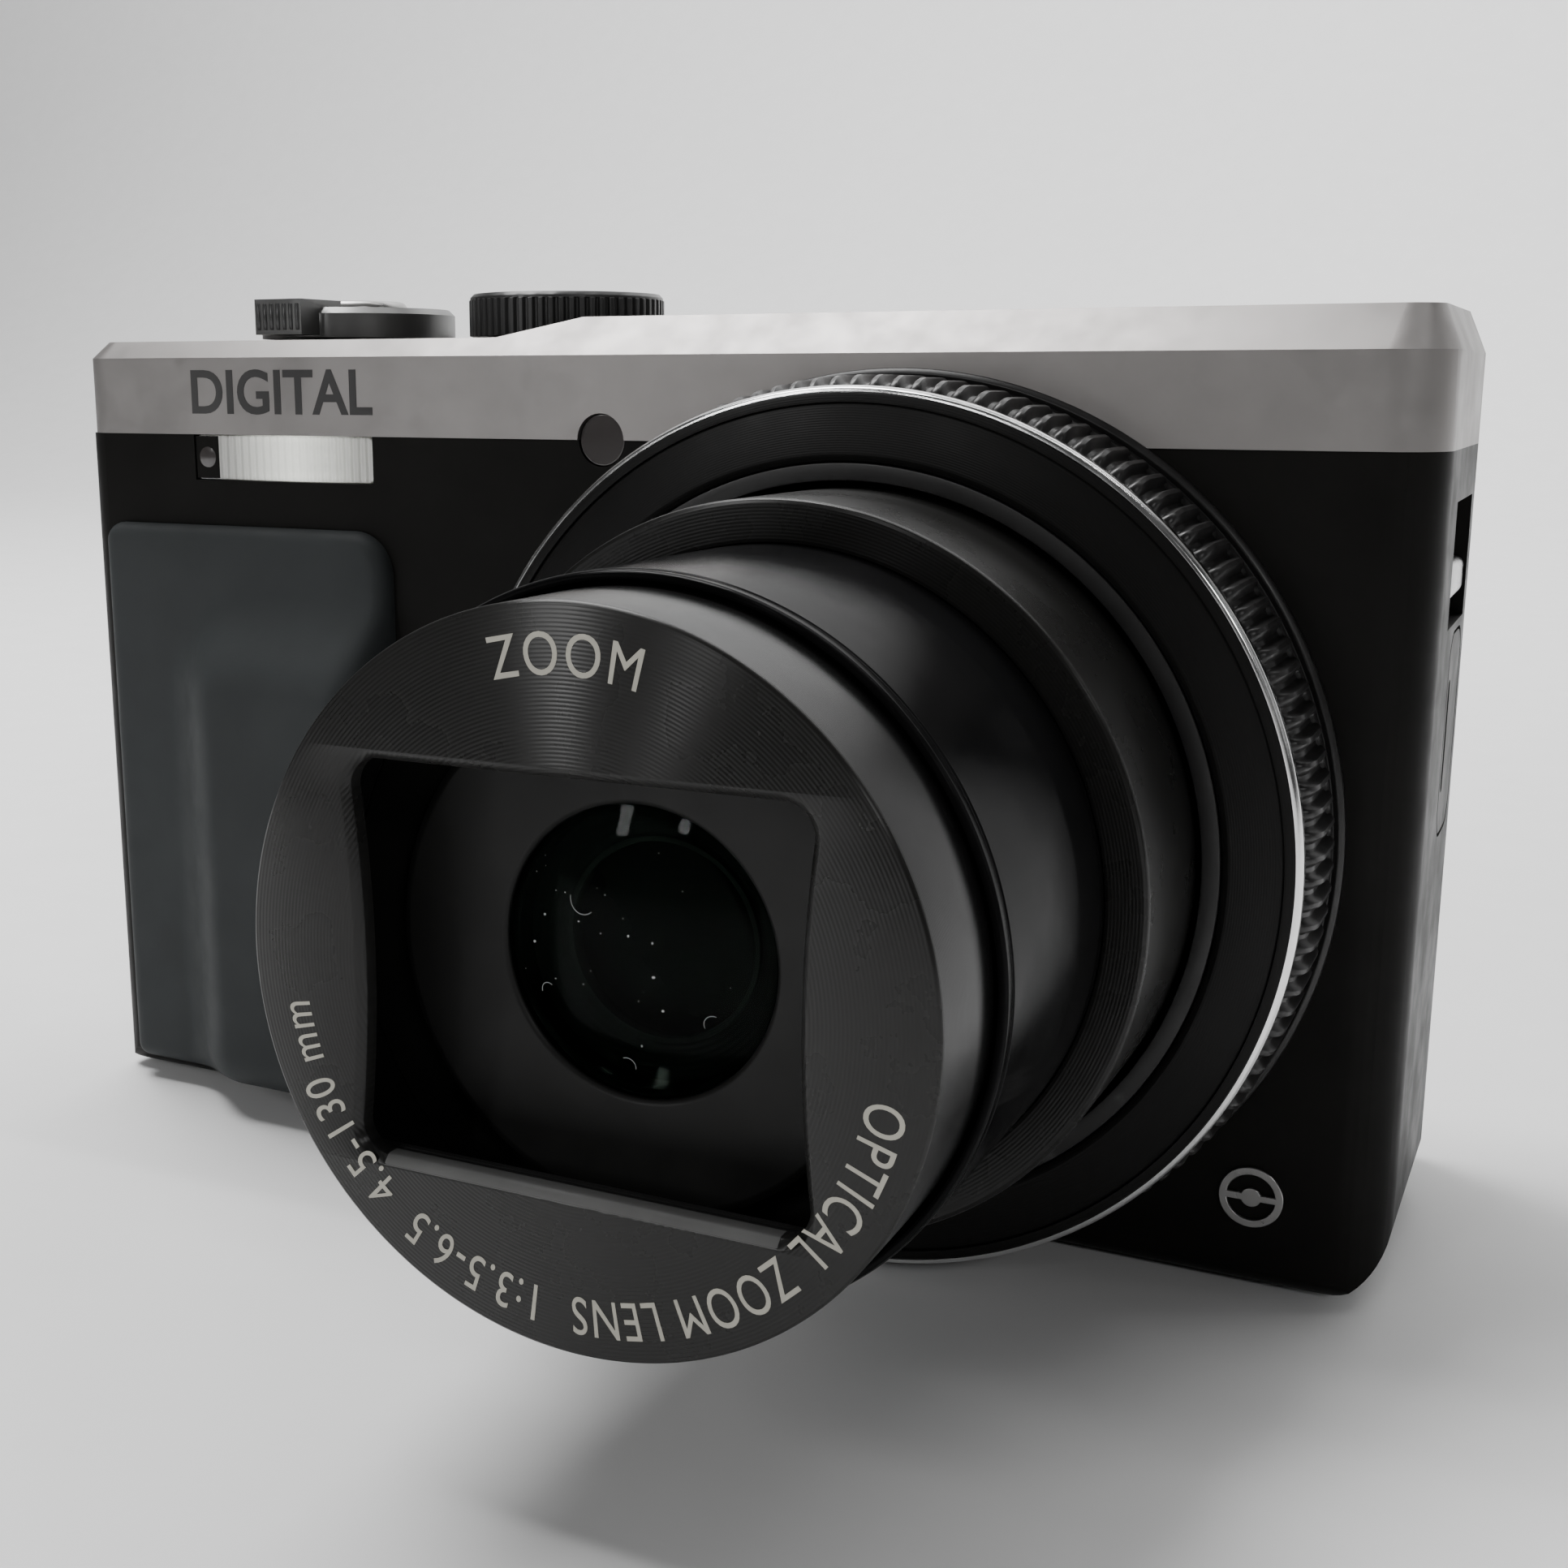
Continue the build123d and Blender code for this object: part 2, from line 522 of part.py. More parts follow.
with BuildPart() as lens_base:
    add(tube(GUIDE_R_IN, GUIDE_R_OUT, SKIN_Y + 1.75, LENS_BACK_Y))
    add(tube(GUIDE_R_IN, CAM_R + 1.0, 4.2, 5.2))
    add(tube(0, GUIDE_R_IN + 0.15, LENS_BACK_Y - 1.0, LENS_BACK_Y))
    with BuildSketch(lens_plane(LENS_BACK_Y)):
        Rectangle(9.0, 7.2)
    extrude(amount=2, mode=Mode.SUBTRACT)
save(lens_base, "lens_base")

with BuildPart() as image_sensor:
    with BuildSketch(lens_plane(LENS_BACK_Y + 0.7)):
        Rectangle(16.0, 14.0)
    extrude(amount=0.7)
    with BuildSketch(lens_plane(LENS_BACK_Y)):
        Rectangle(8.6, 6.8)
    extrude(amount=0.8)
save(image_sensor, "image_sensor")

CAM_TEETH, GEAR_TEETH, MODULE = 111, 21, 0.5
CAM_PITCH_R = CAM_TEETH * MODULE / 2
GEAR_PITCH_R = GEAR_TEETH * MODULE / 2
GEAR_ANGLE = 11.5 * 360 / CAM_TEETH      # a cam ring tooth points at the gear
GEAR_X = LENS_X + (CAM_PITCH_R + GEAR_PITCH_R) * cos(radians(GEAR_ANGLE))
GEAR_Z = LENS_Z + (CAM_PITCH_R + GEAR_PITCH_R) * sin(radians(GEAR_ANGLE))
GEAR_Y0, GEAR_Y1 = -11.6, -8.6

with BuildPart() as cam_ring:
    add(tube(GUIDE_R_OUT + RUN, CAM_R - 0.2, -12.4, 3.6))
    with BuildSketch(lens_plane(GEAR_Y1 + 0.4)):
        Polygon(*gear_outline(CAM_TEETH, CAM_PITCH_R - 0.62, CAM_PITCH_R + 0.4, 0.56, 0.16), align=None)
        Circle(CAM_R - 0.4, mode=Mode.SUBTRACT)
    extrude(amount=GEAR_Y1 - GEAR_Y0 + 0.8)
    for turn in (20, 140, 260):
        with BuildSketch(Plane(origin=(LENS_X, -2.0, LENS_Z), x_dir=(0, 1, 0),
                               z_dir=(cos(radians(turn)), 0, sin(radians(turn))))):
            Rectangle(9.5, 1.6, rotation=28)
        extrude(amount=40, mode=Mode.SUBTRACT)
save(cam_ring, "cam_ring")

with BuildPart() as zoom_gear:
    gear_plane = Plane(origin=(GEAR_X, GEAR_Y1, GEAR_Z),
                       x_dir=(-cos(radians(GEAR_ANGLE)), 0, -sin(radians(GEAR_ANGLE))), z_dir=(0, -1, 0))
    with BuildSketch(gear_plane):
        Polygon(*gear_outline(GEAR_TEETH, GEAR_PITCH_R - 0.62, GEAR_PITCH_R + 0.4, 0.56, 0.16), align=None)
        Circle(0.85, mode=Mode.SUBTRACT)
    extrude(amount=GEAR_Y1 - GEAR_Y0)
save(zoom_gear, "zoom_gear")

with BuildPart() as zoom_motor:
    with BuildSketch(gear_plane.offset(-0.5)):
        Circle(4.5)
    extrude(amount=-13.0)
    with BuildSketch(gear_plane.offset(-0.5)):
        Circle(0.8)
    extrude(amount=3.4)
save(zoom_motor, "zoom_motor")

# ---- lens: control ring ----
RING_FACE_Y = ahead(RING_FACE)
with BuildPart() as control_ring:
    with BuildSketch(lens_plane(SKIN_Y - 1.0 - GAP)):
        Polygon(*gear_outline(KNURLS, KNURL_R - 0.45, KNURL_R, 0.8, 0.42), align=None)
        Circle(SLEEVE_R + RUN, mode=Mode.SUBTRACT)
    extrude(amount=6.6)
    add(tube(SLEEVE_R + RUN, RING_R - 0.6, RING_FACE_Y + 0.9, SKIN_Y - 7.9))
save(control_ring, "control_ring")

with BuildPart() as control_ring_trim:
    add(turned((RING_R - 1.2, RING_FACE_Y + 0.9), (RING_R - 0.1, RING_FACE_Y + 0.9),
               (RING_R - 0.15, RING_FACE_Y + 0.35), (RING_R - 0.75, RING_FACE_Y - 0.2),
               (RING_R - 1.2, RING_FACE_Y - 0.2)))
save(control_ring_trim, "control_ring_trim")

with BuildPart() as control_ring_face:
    add(turned((SLEEVE_R + RUN, RING_FACE_Y + 0.9), (RING_R - 1.22, RING_FACE_Y + 0.9),
               (RING_R - 1.22, RING_FACE_Y), (SLEEVE_R + RUN + 0.3, RING_FACE_Y - 0.25),
               (SLEEVE_R + RUN, RING_FACE_Y)))
save(control_ring_face, "control_ring_face")

# ---- lens: three telescoping barrels ----
OUTER_Y = ahead(OUTER_FRONT)
with BuildPart() as outer_barrel:
    add(turned((MIDDLE_R + RUN, OUTER_Y + 1.6), (MIDDLE_R + RUN, OUTER_Y + 0.45), (OUTER_R - 0.3, OUTER_Y),
               (OUTER_R, OUTER_Y + 0.3), (OUTER_R, OUTER_Y + OUTER_LEN),
               (OUTER_BORE, OUTER_Y + OUTER_LEN), (OUTER_BORE, OUTER_Y + 1.6)))
    add(tube(OUTER_BORE, GUIDE_R_IN - RUN, OUTER_Y + OUTER_LEN - 3.0, OUTER_Y + OUTER_LEN))
save(outer_barrel, "outer_barrel")

MIDDLE_Y = ahead(MIDDLE_FRONT)
MIDDLE_BACK = MIDDLE_Y + MIDDLE_LEN
with BuildPart() as middle_barrel:
    add(turned((MIDDLE_BORE, MIDDLE_Y + 0.1), (MIDDLE_R - 0.14, MIDDLE_Y), (MIDDLE_R, MIDDLE_Y + 0.4),
               (MIDDLE_R, MIDDLE_BACK), (MIDDLE_BORE, MIDDLE_BACK)))
    add(tube(MIDDLE_BORE + 0.05, OUTER_BORE - 0.3, MIDDLE_BACK - 2.0, MIDDLE_BACK))
    add(tube(9.0, MIDDLE_BORE + 0.45, MIDDLE_BACK - 1.0, MIDDLE_BACK))
save(middle_barrel, "middle_barrel")

# The rear lens group is a cell with an iris plate, and a glass element seated in it.
with BuildPart() as rear_lens_group:
    add(tube(6.6, 12.0, MIDDLE_BACK - 9.0, MIDDLE_BACK - 1.0))
    add(tube(3.6, 6.8, MIDDLE_BACK - 4.4, MIDDLE_BACK - 3.8))
    add(turned((0, MIDDLE_BACK - 8.4), (2.6, MIDDLE_BACK - 8.1), (4.8, MIDDLE_BACK - 7.3),
               (6.5, MIDDLE_BACK - 6.2), (6.5, MIDDLE_BACK - 4.6), (0, MIDDLE_BACK - 4.6)))
save(rear_lens_group, "rear_lens_group")

NAME_Y = ahead(NAME_FRONT)
with BuildPart() as front_barrel:
    add(tube(FRONT_BORE, NAME_R, NAME_Y + NAME_T, NAME_Y + NAME_LEN))
    add(tube(17.0, FRONT_BORE + 0.05, ahead(GLASS_FRONT) + 1.4, ahead(GLASS_FRONT) + 4.0))
save(front_barrel, "front_barrel")

with BuildPart() as name_ring:
    add(turned((0, NAME_Y), (NAME_R - 0.25, NAME_Y), (NAME_R, NAME_Y + 0.25), (NAME_R, NAME_Y + NAME_T),
               (0, NAME_Y + NAME_T)))
    with BuildSketch(lens_plane(NAME_Y + 2)):
        with BuildLine():
            half_w, half_h, waist = WINDOW_W / 2, WINDOW_H / 2, 0.6
            Line((-half_w, half_h), (half_w, half_h))
            ThreePointArc((half_w, half_h), (half_w - waist, 0), (half_w, -half_h))
            Line((half_w, -half_h), (-half_w, -half_h))
            ThreePointArc((-half_w, -half_h), (-half_w + waist, 0), (-half_w, half_h))
        make_face()
        fillet(vertices(), 1.7)
    extrude(amount=4, mode=Mode.SUBTRACT)
save(name_ring, "name_ring")

GLASS_Y = ahead(GLASS_FRONT)
with BuildPart() as lens_retainer:
    add(turned((GLASS_R, GLASS_Y), (GLASS_R + 0.5, GLASS_Y - 0.2), (14.6, GLASS_Y - 0.9),
               (15.0, GLASS_Y - 0.5), (15.0, GLASS_Y + 0.7), (FRONT_BORE - 0.05, GLASS_Y + 0.7),
               (FRONT_BORE - 0.05, GLASS_Y + 1.4),
               (GLASS_R + 0.9, GLASS_Y + 1.4), (GLASS_R + 0.9, GLASS_Y + 0.6), (GLASS_R, GLASS_Y + 0.6)))
save(lens_retainer, "lens_retainer")

with BuildPart() as front_lens:
    with BuildSketch(LENS_SECTION):
        with BuildLine():
            ThreePointArc((0, GLASS_Y - 1.3), (4.3, GLASS_Y - 0.95), (GLASS_R - 0.08, GLASS_Y + 0.1))
            Polyline((GLASS_R - 0.08, GLASS_Y + 0.1), (GLASS_R - 0.08, GLASS_Y + 0.65), (9.3, GLASS_Y + 0.65),
                     (9.3, GLASS_Y + 4.2), (0, GLASS_Y + 4.2), (0, GLASS_Y - 1.3))
        make_face()
    revolve(axis=LENS_AXIS)
save(front_lens, "front_lens")

# ---- lens: barrier blades, an inner and an outer leaf above and below the window ----
BLADE_INNER_Y = NAME_Y + NAME_T + 0.25 + BLADE_T
BLADE_OUTER_Y = BLADE_INNER_Y + 0.25 + BLADE_T
for side, side_sign in (("upper", 1), ("lower", -1)):
    for leaf, blade_y in (("inner", BLADE_INNER_Y), ("outer", BLADE_OUTER_Y)):
        with BuildPart() as barrier_blade:
            with BuildSketch(lens_plane(blade_y)):
                Circle(SEGMENT_R)
                with Locations((0, side_sign * (BLADE_EDGE - 50))):
                    Rectangle(100, 100, mode=Mode.SUBTRACT)
            extrude(amount=BLADE_T)
        save(barrier_blade, f"{side}_{leaf}_blade")

# ---- top controls ----
BUTTON_SEAT_Z = DECK_Z - WALL
with BuildPart() as zoom_lever:
    with BuildSketch(Plane.XY.offset(DECK_Z + GAP)):
        with Locations((LEVER_X, CONTROL_Y)):
            Circle(LEVER_R)
    extrude(amount=2.5)
    chamfer(zoom_lever.faces().sort_by(Axis.Z)[-1].edges(), 0.5)
    add(prism(LEVER_X - 2.9, LEVER_X + 1.9, CONTROL_Y - 10.6, CONTROL_Y - BUTTON_BORE,
              DECK_Z + 0.5, DECK_Z + 3.4))
    with BuildSketch(Plane.XY.offset(DECK_Z + GAP)):
        with Locations((LEVER_X, CONTROL_Y)):
            Circle(BUTTON_BORE)
    extrude(amount=4, mode=Mode.SUBTRACT)
    with BuildSketch(Plane.XY.offset(BUTTON_SEAT_Z - 0.8)):
        with Locations((LEVER_X, CONTROL_Y)):
            Circle(BUTTON_BORE + 0.04)
            Circle(BUTTON_BORE - 0.8, mode=Mode.SUBTRACT)
    extrude(amount=2.9)
save(zoom_lever, "zoom_lever")

with BuildPart() as shutter_button:
    with BuildSketch(Plane.XY.offset(BUTTON_SEAT_Z - 1.6)):
        with Locations((LEVER_X, CONTROL_Y)):
            Circle(BUTTON_BORE - 0.86)
    extrude(amount=6.6)
    fillet(shutter_button.faces().sort_by(Axis.Z)[-1].edges(), 0.7)
save(shutter_button, "shutter_button")

with BuildPart() as mode_dial:
    with BuildSketch(Plane.XY.offset(DECK_Z + GAP)):
        with Locations((DIAL_X, CONTROL_Y)):
            Polygon(*gear_outline(60, DIAL_R - 0.3, DIAL_R, 0.8, 0.4), align=None)
    extrude(amount=DIAL_H)
    with BuildSketch(Plane.XY.offset(DECK_Z + GAP + DIAL_H)):
        with Locations((DIAL_X, CONTROL_Y)):
            Circle(DIAL_R - 0.1)
    extrude(amount=0.5)
    chamfer(mode_dial.faces().sort_by(Axis.Z)[-1].edges(), 0.3)
    with BuildSketch(Plane.XY.offset(BUTTON_SEAT_Z - 1.0)):
        with Locations((DIAL_X, CONTROL_Y)):
            Circle(SPINDLE_BORE - RUN)
    extrude(amount=3.0)
save(mode_dial, "mode_dial")

with BuildPart() as power_button:
    with BuildSketch(Plane.XY.offset(BUTTON_SEAT_Z - 1.2)):
        with Locations((POWER_X, POWER_Y)):
            Circle(CAP_BORE - 0.1)
    extrude(amount=3.4)
    fillet(power_button.faces().sort_by(Axis.Z)[-1].edges(), 0.4)
save(power_button, "power_button")

# ---- rear controls ----
CAP_Y = THUMB_Y + 0.9
for name, (x, z) in REAR_BUTTONS.items():
    with BuildPart() as rear_button:
        with BuildSketch(facing(CAP_Y)):
            with Locations((x, z)):
                Circle(BUTTON_R)
        extrude(amount=3.2)
        fillet(rear_button.faces().sort_by(Axis.Y)[-1].edges(), 0.4)
    save(rear_button, name)

with BuildPart() as movie_button:
    with BuildSketch(facing(THUMB_Y + 0.3)):
        with Locations((MOVIE_X, MOVIE_Z)):
            Circle(2.4)
    extrude(amount=2.6)
    with BuildSketch(facing(THUMB_Y + 0.4)):
        with Locations((MOVIE_X, MOVIE_Z)):
            Circle(0.8)
    extrude(amount=0.25, mode=Mode.SUBTRACT)
save(movie_button, "movie_button")

with BuildPart() as control_dial:
    with BuildSketch(facing(THUMB_Y + 1.3)):
        with Locations((PANEL_X, WHEEL_Z)):
            Polygon(*gear_outline(48, WHEEL_R - 0.3, WHEEL_R, 0.8, 0.4), align=None)
            Circle(5.2, mode=Mode.SUBTRACT)
    extrude(amount=1.0)
    with BuildSketch(facing(THUMB_Y + 0.5)):
        with Locations((PANEL_X, WHEEL_Z)):
            Circle(6.2 - RUN)
            Circle(5.2, mode=Mode.SUBTRACT)
    extrude(amount=2.1)
save(control_dial, "control_dial")

with BuildPart() as dial_button:
    with BuildSketch(facing(THUMB_Y + 1.5)):
        with Locations((PANEL_X, WHEEL_Z)):
            Circle(4.85)
    extrude(amount=3.6)
    fillet(dial_button.faces().sort_by(Axis.Y)[-1].edges(), 0.5)
save(dial_button, "dial_button")

# ---- flip-up screen ----
EAR_W = 4.0
with BuildPart() as screen_shell:
    add(prism(SCREEN_X0, SCREEN_X1, SCREEN_Y0, SCREEN_Y1, SCREEN_Z0, SCREEN_Z1))
    fillet(screen_shell.edges().filter_by(Axis.Y), 1.6)
    fillet(screen_shell.faces().sort_by(Axis.Y)[-1].edges(), 0.5)
    for x0, x1 in ((SCREEN_X0, SCREEN_X0 + EAR_W), (SCREEN_X1 - EAR_W, SCREEN_X1)):
        add(prism(x0, x1, SCREEN_Y0 - 1, SCREEN_Y1 + 1, HINGE_Z - 2.4, SCREEN_Z1 + 1), mode=Mode.SUBTRACT)
    with BuildSketch(facing(SCREEN_Y1)):
        with Locations(((SCREEN_X0 + SCREEN_X1) / 2, (SCREEN_Z0 + SCREEN_Z1) / 2 - 1.4)):
            RectangleRounded(SCREEN_X1 - SCREEN_X0 - 3.0, SCREEN_Z1 - SCREEN_Z0 - 5.0, 1.2)
    extrude(amount=1.1, mode=Mode.SUBTRACT)
    with BuildSketch(Plane.YZ.offset(SCREEN_X0)):
        with Locations((HINGE_Y, HINGE_Z - 0.2)):
            Circle(0.5)
    extrude(amount=SCREEN_X1 - SCREEN_X0, mode=Mode.SUBTRACT)
save(screen_shell, "screen_shell")

with BuildPart() as screen_glass:
    with BuildSketch(facing(SCREEN_Y1 - 0.1)):
        with Locations(((SCREEN_X0 + SCREEN_X1) / 2, (SCREEN_Z0 + SCREEN_Z1) / 2 - 1.4)):
            RectangleRounded(SCREEN_X1 - SCREEN_X0 - 3.1, SCREEN_Z1 - SCREEN_Z0 - 5.1, 1.15)
    extrude(amount=1.0)
save(screen_glass, "screen_glass")

with BuildPart() as screen_hinge:
    for x0, x1, inward in ((SCREEN_X0 + 0.2, SCREEN_X0 + EAR_W - GAP, 1),
                           (SCREEN_X1 - EAR_W + GAP, SCREEN_X1 - 0.2, -1)):
        add(prism(x0, x1, REAR_Y, HINGE_Y, HINGE_Z - 1.4, HINGE_Z + 1.0))
        with BuildSketch(Plane.YZ.offset(x0)):
            with Locations((HINGE_Y, HINGE_Z - 0.2)):
                Circle(1.2)
        extrude(amount=x1 - x0)
        with BuildSketch(Plane.YZ.offset(x1 if inward > 0 else x0)):
            with Locations((HINGE_Y, HINGE_Z - 0.2)):
                Circle(0.5 - RUN)
        extrude(amount=2.6 * inward)
save(screen_hinge, "screen_hinge")

# ---- viewfinder ----
with BuildPart() as eyecup:
    with BuildSketch(facing(REAR_Y + 2.6)):
        with Locations((EYE_X, EYE_Z)):
            RectangleRounded(EYE_W, EYE_H - 0.6, 1.6)
            RectangleRounded(EYE_W - 4.4, EYE_H - 4.0, 1.0, mode=Mode.SUBTRACT)
    extrude(amount=2.6)
save(eyecup, "eyecup")

with BuildPart() as eyepiece_lens:
    with BuildSketch(facing(REAR_Y - 0.1)):
        with Locations((EYE_X, EYE_Z)):
            RectangleRounded(EYE_W - 2.6, EYE_H - 2.6, 0.8)
    extrude(amount=1.2)
save(eyepiece_lens, "eyepiece_lens")

with BuildPart() as viewfinder_module:
    add(prism(EYE_X - 6.5, EYE_X + 6.5, -8.0, REAR_Y - WALL - 0.3, 58.4, DECK_Z - WALL - 0.2))
save(viewfinder_module, "viewfinder_module")

with BuildPart() as dioptre_dial:
    with BuildSketch(facing(REAR_Y + 1.3)):
        with Locations((DIOPTRE_X, DIOPTRE_Z)):
            Polygon(*gear_outline(24, DIOPTRE_R - 0.25, DIOPTRE_R, 0.8, 0.4), align=None)
    extrude(amount=1.0)
    with BuildSketch(facing(REAR_Y + 0.5)):
        with Locations((DIOPTRE_X, DIOPTRE_Z)):
            Circle(1.2 - RUN)
    extrude(amount=2.4)
save(dioptre_dial, "dioptre_dial")

# ---- inside the body ----
CELL_X0, CELL_X1, CELL_Y0, CELL_Y1, CELL_TOP = -51.4, -18.4, -12.0, -1.4, 46.2
CARD_X0, CARD_X1, CARD_Y0, CARD_Y1, CARD_TOP = -46.5, -22.5, 1.0, 3.1, 35.0

with BuildPart() as battery:
    add(prism(CELL_X0, CELL_X1, CELL_Y0, CELL_Y1, 2.9, CELL_TOP))
    fillet(battery.edges().filter_by(Axis.Z), 1.4)
save(battery, "battery")

with BuildPart() as memory_card:
    add(prism(CARD_X0, CARD_X1, CARD_Y0, CARD_Y1, 3.0, CARD_TOP))
    chamfer(memory_card.edges().filter_by(Axis.Y).sort_by(SortBy.DISTANCE)[0:1], 2.6)
save(memory_card, "memory_card")

with BuildPart() as battery_holder:
    add(prism(CELL_X0 - 1.6, CELL_X1 + 1.4, CELL_Y0 - 0.9, CARD_Y1 + 1.2, 2.8, CELL_TOP + 1.2))
    add(prism(CELL_X0 - 0.4, CELL_X1 + 0.4, CELL_Y0 - 0.3, CELL_Y1 + 0.3, 2.0, CELL_TOP + 0.3),
        mode=Mode.SUBTRACT)
    add(prism(CARD_X0 - 0.3, CARD_X1 + 0.3, CARD_Y0 - 0.3, CARD_Y1 + 0.3, 2.0, CARD_TOP + 0.3),
        mode=Mode.SUBTRACT)
save(battery_holder, "battery_holder")

with BuildPart() as chassis:
    add(prism(-52.5, 52.5, 7.5, 8.2, 5.5, 55.5))
    with BuildSketch(facing(9)):
        with Locations((-36, 30), (-1.0, 50), (40, 6)):
            RectangleRounded(9, 5, 1)
    extrude(amount=2, mode=Mode.SUBTRACT)
save(chassis, "chassis")

# The main board's node also holds the block of the two terminal sockets.
with BuildPart() as main_board:
    add(prism(-20.0, 50.0, 8.5, 9.2, 5.0, 54.0))
    for x, z, w, h in ((2, 20, 12, 12), (18, 40, 9, 9), (34, 22, 14, 10), (-10, 44, 7, 8), (38, 44, 8, 6)):
        add(prism(x - w / 2, x + w / 2, 9.2, 10.0, z - h / 2, z + h / 2))
    add(prism(50.2, 54.2, PORT_Y0 + 0.6, PORT_Y1 - 0.6, PORT_Z0 + 0.8, PORT_Z1 - 0.8))
    for z in (34.6, 41.2):
        add(prism(51.2, 55.0, 0.1, 2.7, z - 2.6, z + 2.6), mode=Mode.SUBTRACT)
save(main_board, "main_board")

with BuildPart() as speaker:
    with Locations((52.0, 2.5, 20.0)):
        Cylinder(4.6, 2.2, rotation=(0, 90, 0))
save(speaker, "speaker")
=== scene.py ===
import math
import random

import bmesh
import bpy
from mathutils import Matrix, Vector
from mathutils.geometry import tessellate_polygon


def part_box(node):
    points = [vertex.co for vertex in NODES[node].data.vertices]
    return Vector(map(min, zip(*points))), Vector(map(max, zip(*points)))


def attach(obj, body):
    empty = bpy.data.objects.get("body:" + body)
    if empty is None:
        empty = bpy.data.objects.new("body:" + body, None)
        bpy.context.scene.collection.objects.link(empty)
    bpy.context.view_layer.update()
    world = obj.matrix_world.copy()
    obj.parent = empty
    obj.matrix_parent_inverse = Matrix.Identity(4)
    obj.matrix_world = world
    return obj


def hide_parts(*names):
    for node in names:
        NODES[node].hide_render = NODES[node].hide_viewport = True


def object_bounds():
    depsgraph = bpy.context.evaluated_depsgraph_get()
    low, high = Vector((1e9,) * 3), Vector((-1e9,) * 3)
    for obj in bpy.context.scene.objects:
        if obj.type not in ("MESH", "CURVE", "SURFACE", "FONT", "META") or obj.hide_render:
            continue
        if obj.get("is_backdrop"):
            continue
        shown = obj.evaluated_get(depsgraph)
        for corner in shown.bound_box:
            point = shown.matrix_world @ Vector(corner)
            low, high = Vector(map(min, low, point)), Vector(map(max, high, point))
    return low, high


# Compact digital camera: detailed meshes and materials round the CAD frame. Blender works in metres.
# Places and sizes here are in millimetres, and MM turns them into metres.

MM = 0.001
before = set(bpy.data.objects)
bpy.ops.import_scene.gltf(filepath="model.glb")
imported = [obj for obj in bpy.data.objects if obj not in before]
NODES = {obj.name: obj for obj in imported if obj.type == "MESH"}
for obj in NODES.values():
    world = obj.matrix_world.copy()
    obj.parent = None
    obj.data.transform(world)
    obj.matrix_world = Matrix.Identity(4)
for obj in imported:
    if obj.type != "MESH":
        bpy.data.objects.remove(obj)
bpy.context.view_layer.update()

# ---- places read from the frame, in millimetres ----


def span(node):
    """Lowest and highest corner of a CAD node in millimetres."""
    low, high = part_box(node)
    return Vector(low) / MM, Vector(high) / MM


name_low, name_high = span("name_ring")
LENS_X = (name_low.x + name_high.x) / 2
LENS_Z = (name_low.z + name_high.z) / 2
NAME_R = (name_high.x - name_low.x) / 2
NAME_Y = name_low.y
SKIN_Y = span("lens_rim")[1].y - 1.7        # front of the black cover; the rim's sleeve reaches 1.7 behind it
STRIP_Y = span("top_cover")[0].y            # front of the silver strip
DECK_Z = 65.8                               # deck under the dials
flash_low, flash_high = span("flash_window")
FLASH_Z = (flash_low.z + flash_high.z) / 2
# Middle of the painted glow on the flash window, emission standing in for light.
PAINTED_GLOW_X = (flash_low.x + flash_high.x) / 2 + 1.0

# ---- mesh helpers ----


def mesh_of(name, bm):
    """Mesh with the faces of a bmesh, which is freed."""
    mesh = bpy.data.meshes.new(name)
    bm.to_mesh(mesh)
    bm.free()
    return mesh


def skin(bm, rows):
    """Faces between neighbouring rows of points."""
    for a, b in zip(rows, rows[1:]):
        for k in range(len(a) - 1):
            bm.faces.new((a[k], a[k + 1], b[k + 1], b[k]))


def new_object(name, mesh):
    """Object of this mesh in the scene, at the origin of the row frame."""
    obj = bpy.data.objects.new(name, mesh)
    bpy.context.scene.collection.objects.link(obj)
    return obj


def smooth(mesh, angle=32):
    """Smooth shading, with edges sharper than the angle kept crisp."""
    mesh.shade_smooth()
    mesh.set_sharp_from_angle(angle=math.radians(angle))


def smoothstep(t):
    """Soft step from 0 to 1."""
    t = max(0.0, min(1.0, t))
    return t * t * (3 - 2 * t)


def finish_piece(obj, body, slot, material, *nodes):
    """Gives a piece its body and material, and hides the CAD nodes it stands for. The slot is not used."""
    obj.data.materials.clear()
    obj.data.materials.append(material)
    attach(obj, body)
    if nodes:
        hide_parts(*nodes)
    return obj


def rounded_profile(points, radius):
    """Closed profile with every corner turned into a short curve of four points."""
    out = []
    for i, corner in enumerate(points):
        corner = Vector(corner)
        before = Vector(points[i - 1])
        after = Vector(points[(i + 1) % len(points)])
        reach = min(radius, (before - corner).length * 0.45, (after - corner).length * 0.45)
        start = corner + (before - corner).normalized() * reach
        end = corner + (after - corner).normalized() * reach
        for k in range(4):
            t = k / 3
            out.append(start * (1 - t) ** 2 + corner * 2 * t * (1 - t) + end * t ** 2)
    return out


